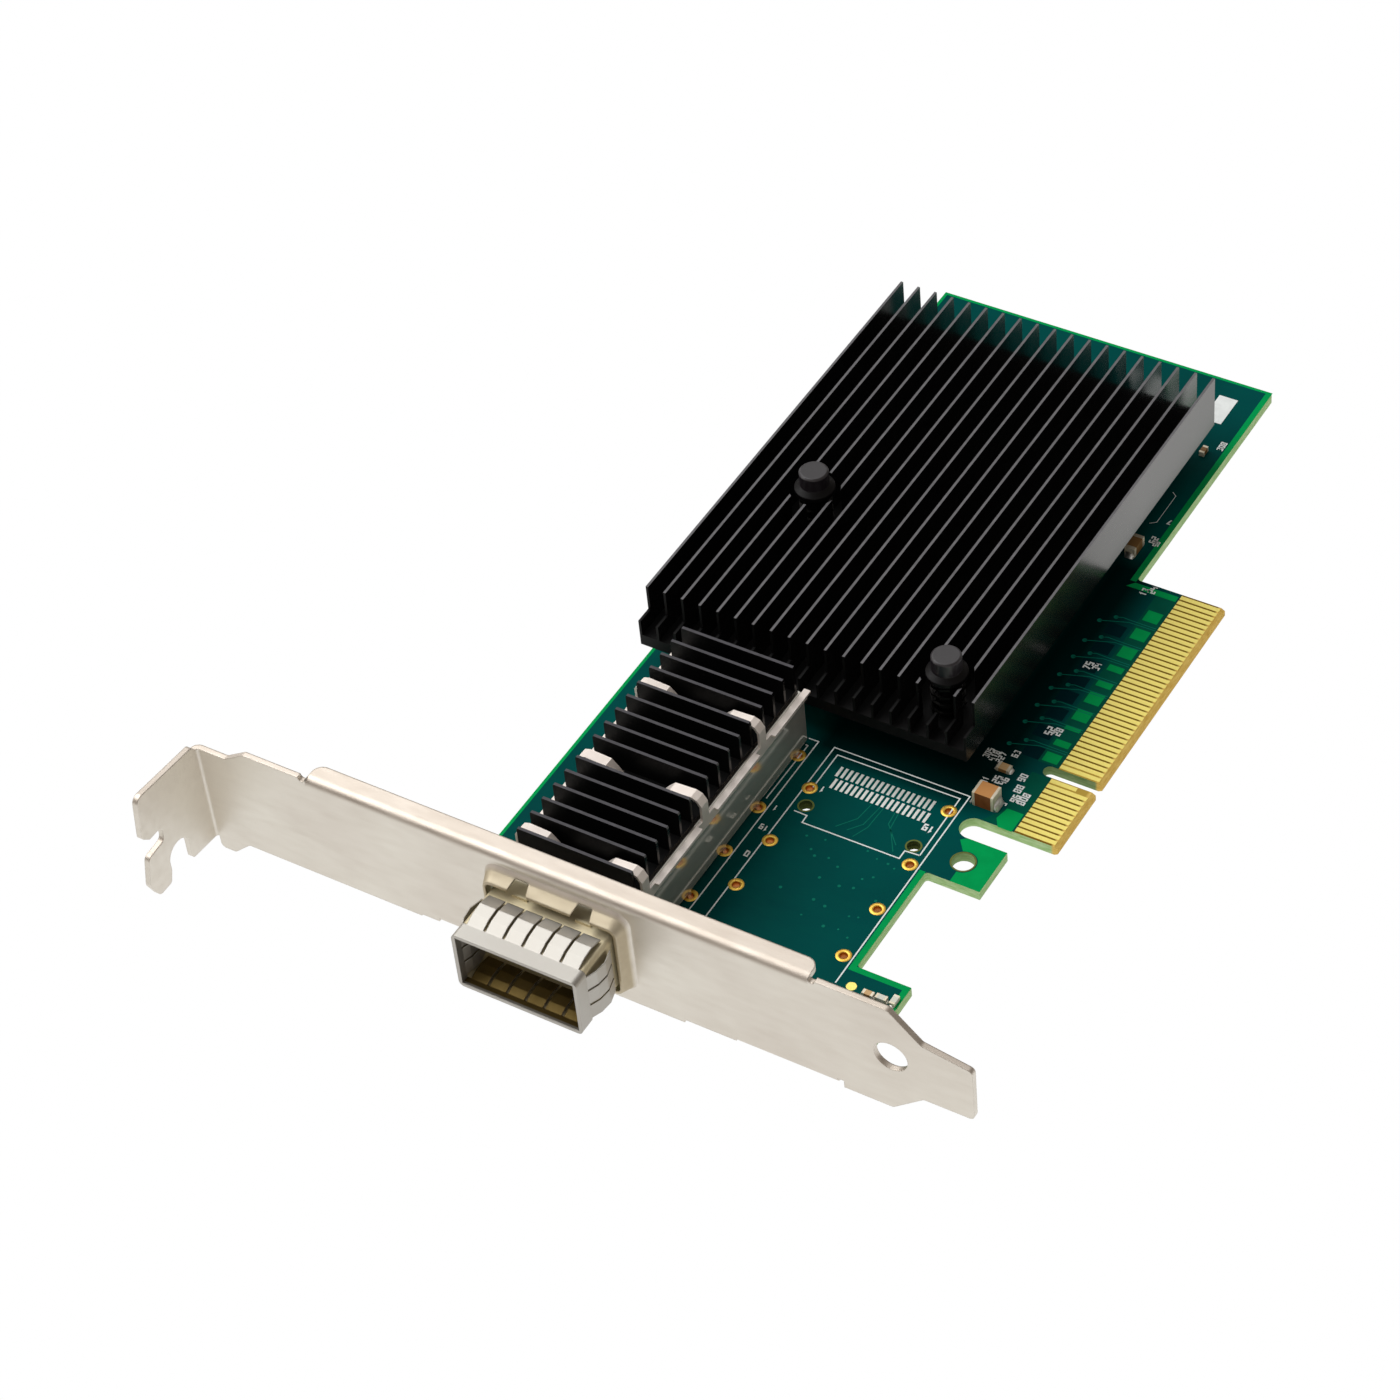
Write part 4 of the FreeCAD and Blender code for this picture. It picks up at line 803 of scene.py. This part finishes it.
# ---------------------------------------------------------------- solder face
def solder_traces():
    """Invented traces from the contacts, from the ports and across to the far edge."""
    lanes = Artwork("solder_traces", trace_mask, "board_green", 0.012, under=True)
    fine, broad, via = 0.16, 0.18, 0.34
    for i in range(14):
        x = 2.6 + 2.5 * i
        bend = 9.5 + 0.45 * i
        lanes.line([(x, 6.9), (x, bend), (x - 2.2, bend + 2.5), (x - 2.2, 24.0)], fine)
        lanes.disc(x - 2.2, 24.0, via, 12)
    for i in range(9):
        y = 44.6 + 1.1 * i
        lanes.line([(-4.0, y), (-18.0, y), (-22.0, y + 2.4), (-40.0, y + 2.4)], fine)
    for i in range(7):
        y = 30.0 + 3.1 * i
        lanes.line([(24.0, y), (40.0, y), (46.0, y + 3.0), (76.0, y + 3.0)], broad)
        lanes.disc(76.0, y + 3.0, via, 12)
    lanes.done()


def solder_legend():
    """Invented outline and numerals."""
    notes = Artwork("solder_legend", white_ink, "board_green", 0.016, under=True)
    notes.line([(2.4, 31.0), (19.2, 31.0), (19.2, 47.6), (2.4, 47.6)], 0.18, closed=True)
    for text, x, y in (("12", 4.5, 28.6), ("34", 9.0, 28.6), ("56", 13.5, 28.6), ("78", 48.0, 22.0),
                       ("90", 70.0, 58.0), ("21", -30.0, 60.0), ("43", -34.0, 24.0)):
        notes.digits(text, x, y, 1.1)
    notes.done()


plated_holes()
bare_rim()
contact_field()
component_traces()
legend()
fillets()
solder_traces()
solder_legend()
hole_rims()
fiducial()


# ---------------------------------------------------------------- floor, light and camera, in metres
FLOOR_HALF = 2.5
FLOOR_Z = cad_box[0][2]
AIM = (0.0, 0.04, 0.0)
CAMERA_PLACE = (-0.33727, -0.17489, 0.39934)
CAMERA_RIGHT = (0.51092, -0.85602, -0.07869)
CAMERA_UP = (0.63568, 0.31461, 0.70495)
CAMERA_AHEAD = (0.57869, 0.41019, -0.70489)


def seen_or_lit(nodes, links, seen, lit, out):
    """Shows one shader to the camera and lights the object with the other."""
    path = nodes.new("ShaderNodeLightPath")
    mix = nodes.new("ShaderNodeMixShader")
    links.new(path.outputs["Is Camera Ray"], mix.inputs[0])
    links.new(lit.outputs[0], mix.inputs[1])
    links.new(seen.outputs[0], mix.inputs[2])
    links.new(mix.outputs[0], out.inputs[0])


def studio_floor():
    """White to the camera, slightly warm to the object."""
    mat = bpy.data.materials.new("studio_floor")
    mat.use_nodes = True
    nodes, links = mat.node_tree.nodes, mat.node_tree.links
    nodes.clear()
    seen = nodes.new("ShaderNodeEmission")
    seen.inputs["Strength"].default_value = 1.0
    lit = nodes.new("ShaderNodeEmission")
    lit.inputs["Color"].default_value = (1.0, 0.99, 0.97, 1.0)
    lit.inputs["Strength"].default_value = 0.92
    seen_or_lit(nodes, links, seen, lit, nodes.new("ShaderNodeOutputMaterial"))

    half = FLOOR_HALF
    corners = [(x, y, FLOOR_Z) for x, y in ((-half, -half), (half, -half), (half, half), (-half, half))]
    mesh = bpy.data.meshes.new("floor")
    mesh.from_pydata(corners, [], [(0, 1, 2, 3)])
    mesh.materials.append(mat)
    floor = bpy.data.objects.new("floor", mesh)
    bpy.context.scene.collection.objects.link(floor)


def studio_world():
    """White to the camera; a soft sky, brightest above and behind the card, to the object."""
    world = bpy.data.worlds.new("studio")
    bpy.context.scene.world = world
    world.use_nodes = True
    nodes, links = world.node_tree.nodes, world.node_tree.links
    nodes.clear()
    toward = nodes.new("ShaderNodeVectorMath")
    toward.operation = "DOT_PRODUCT"
    toward.inputs[1].default_value = (0.15, 0.45, 0.88)
    ramp = nodes.new("ShaderNodeValToRGB")
    elements = ramp.color_ramp.elements
    elements[0].color = (0.2, 0.18, 0.16, 1.0)
    elements[1].color = (0.7, 0.7, 0.7, 1.0)
    for place, tone in ((0.5, (0.28, 0.25, 0.22, 1.0)), (0.7, (0.46, 0.44, 0.42, 1.0)),
                        (0.86, (0.74, 0.73, 0.72, 1.0))):
        elements.new(place).color = tone
    sky = nodes.new("ShaderNodeBackground")
    sky.inputs["Strength"].default_value = 0.95
    seen = nodes.new("ShaderNodeBackground")
    seen.inputs["Color"].default_value = (1, 1, 1, 1)
    links.new(nodes.new("ShaderNodeTexCoord").outputs["Generated"], toward.inputs[0])
    links.new(toward.outputs["Value"], ramp.inputs[0])
    links.new(ramp.outputs[0], sky.inputs["Color"])
    seen_or_lit(nodes, links, seen, sky, nodes.new("ShaderNodeOutputWorld"))


def softbox(name, location, size, power):
    """A rectangular lamp aimed at the card."""
    data = bpy.data.lights.new(name, "AREA")
    data.shape = "RECTANGLE"
    data.size, data.size_y = size
    data.energy = power
    lamp = bpy.data.objects.new(name, data)
    lamp.location = location
    lamp.rotation_euler = (Vector(AIM) - Vector(location)).to_track_quat("-Z", "Y").to_euler()
    bpy.context.scene.collection.objects.link(lamp)


def photo_camera():
    """The camera fitted to the photo."""
    data = bpy.data.cameras.new("photo_camera")
    data.sensor_fit = "HORIZONTAL"
    data.sensor_width = 36.0
    data.lens = 104.13
    data.clip_start = 0.01
    data.clip_end = 20.0
    camera = bpy.data.objects.new("photo_camera", data)
    turned = Matrix((CAMERA_RIGHT, CAMERA_UP, -Vector(CAMERA_AHEAD))).transposed().to_4x4()
    camera.matrix_world = Matrix.Translation(Vector(CAMERA_PLACE)) @ turned
    bpy.context.scene.collection.objects.link(camera)
    bpy.context.scene.camera = camera


studio_floor()
studio_world()
softbox("key_back", (0.0, 0.85, 1.0), (1.4, 1.3), 12.5)
softbox("fill_front", (-0.7, -0.35, 0.3), (0.4, 0.4), 0.4)
photo_camera()
bpy.context.scene.view_settings.view_transform = "Standard"
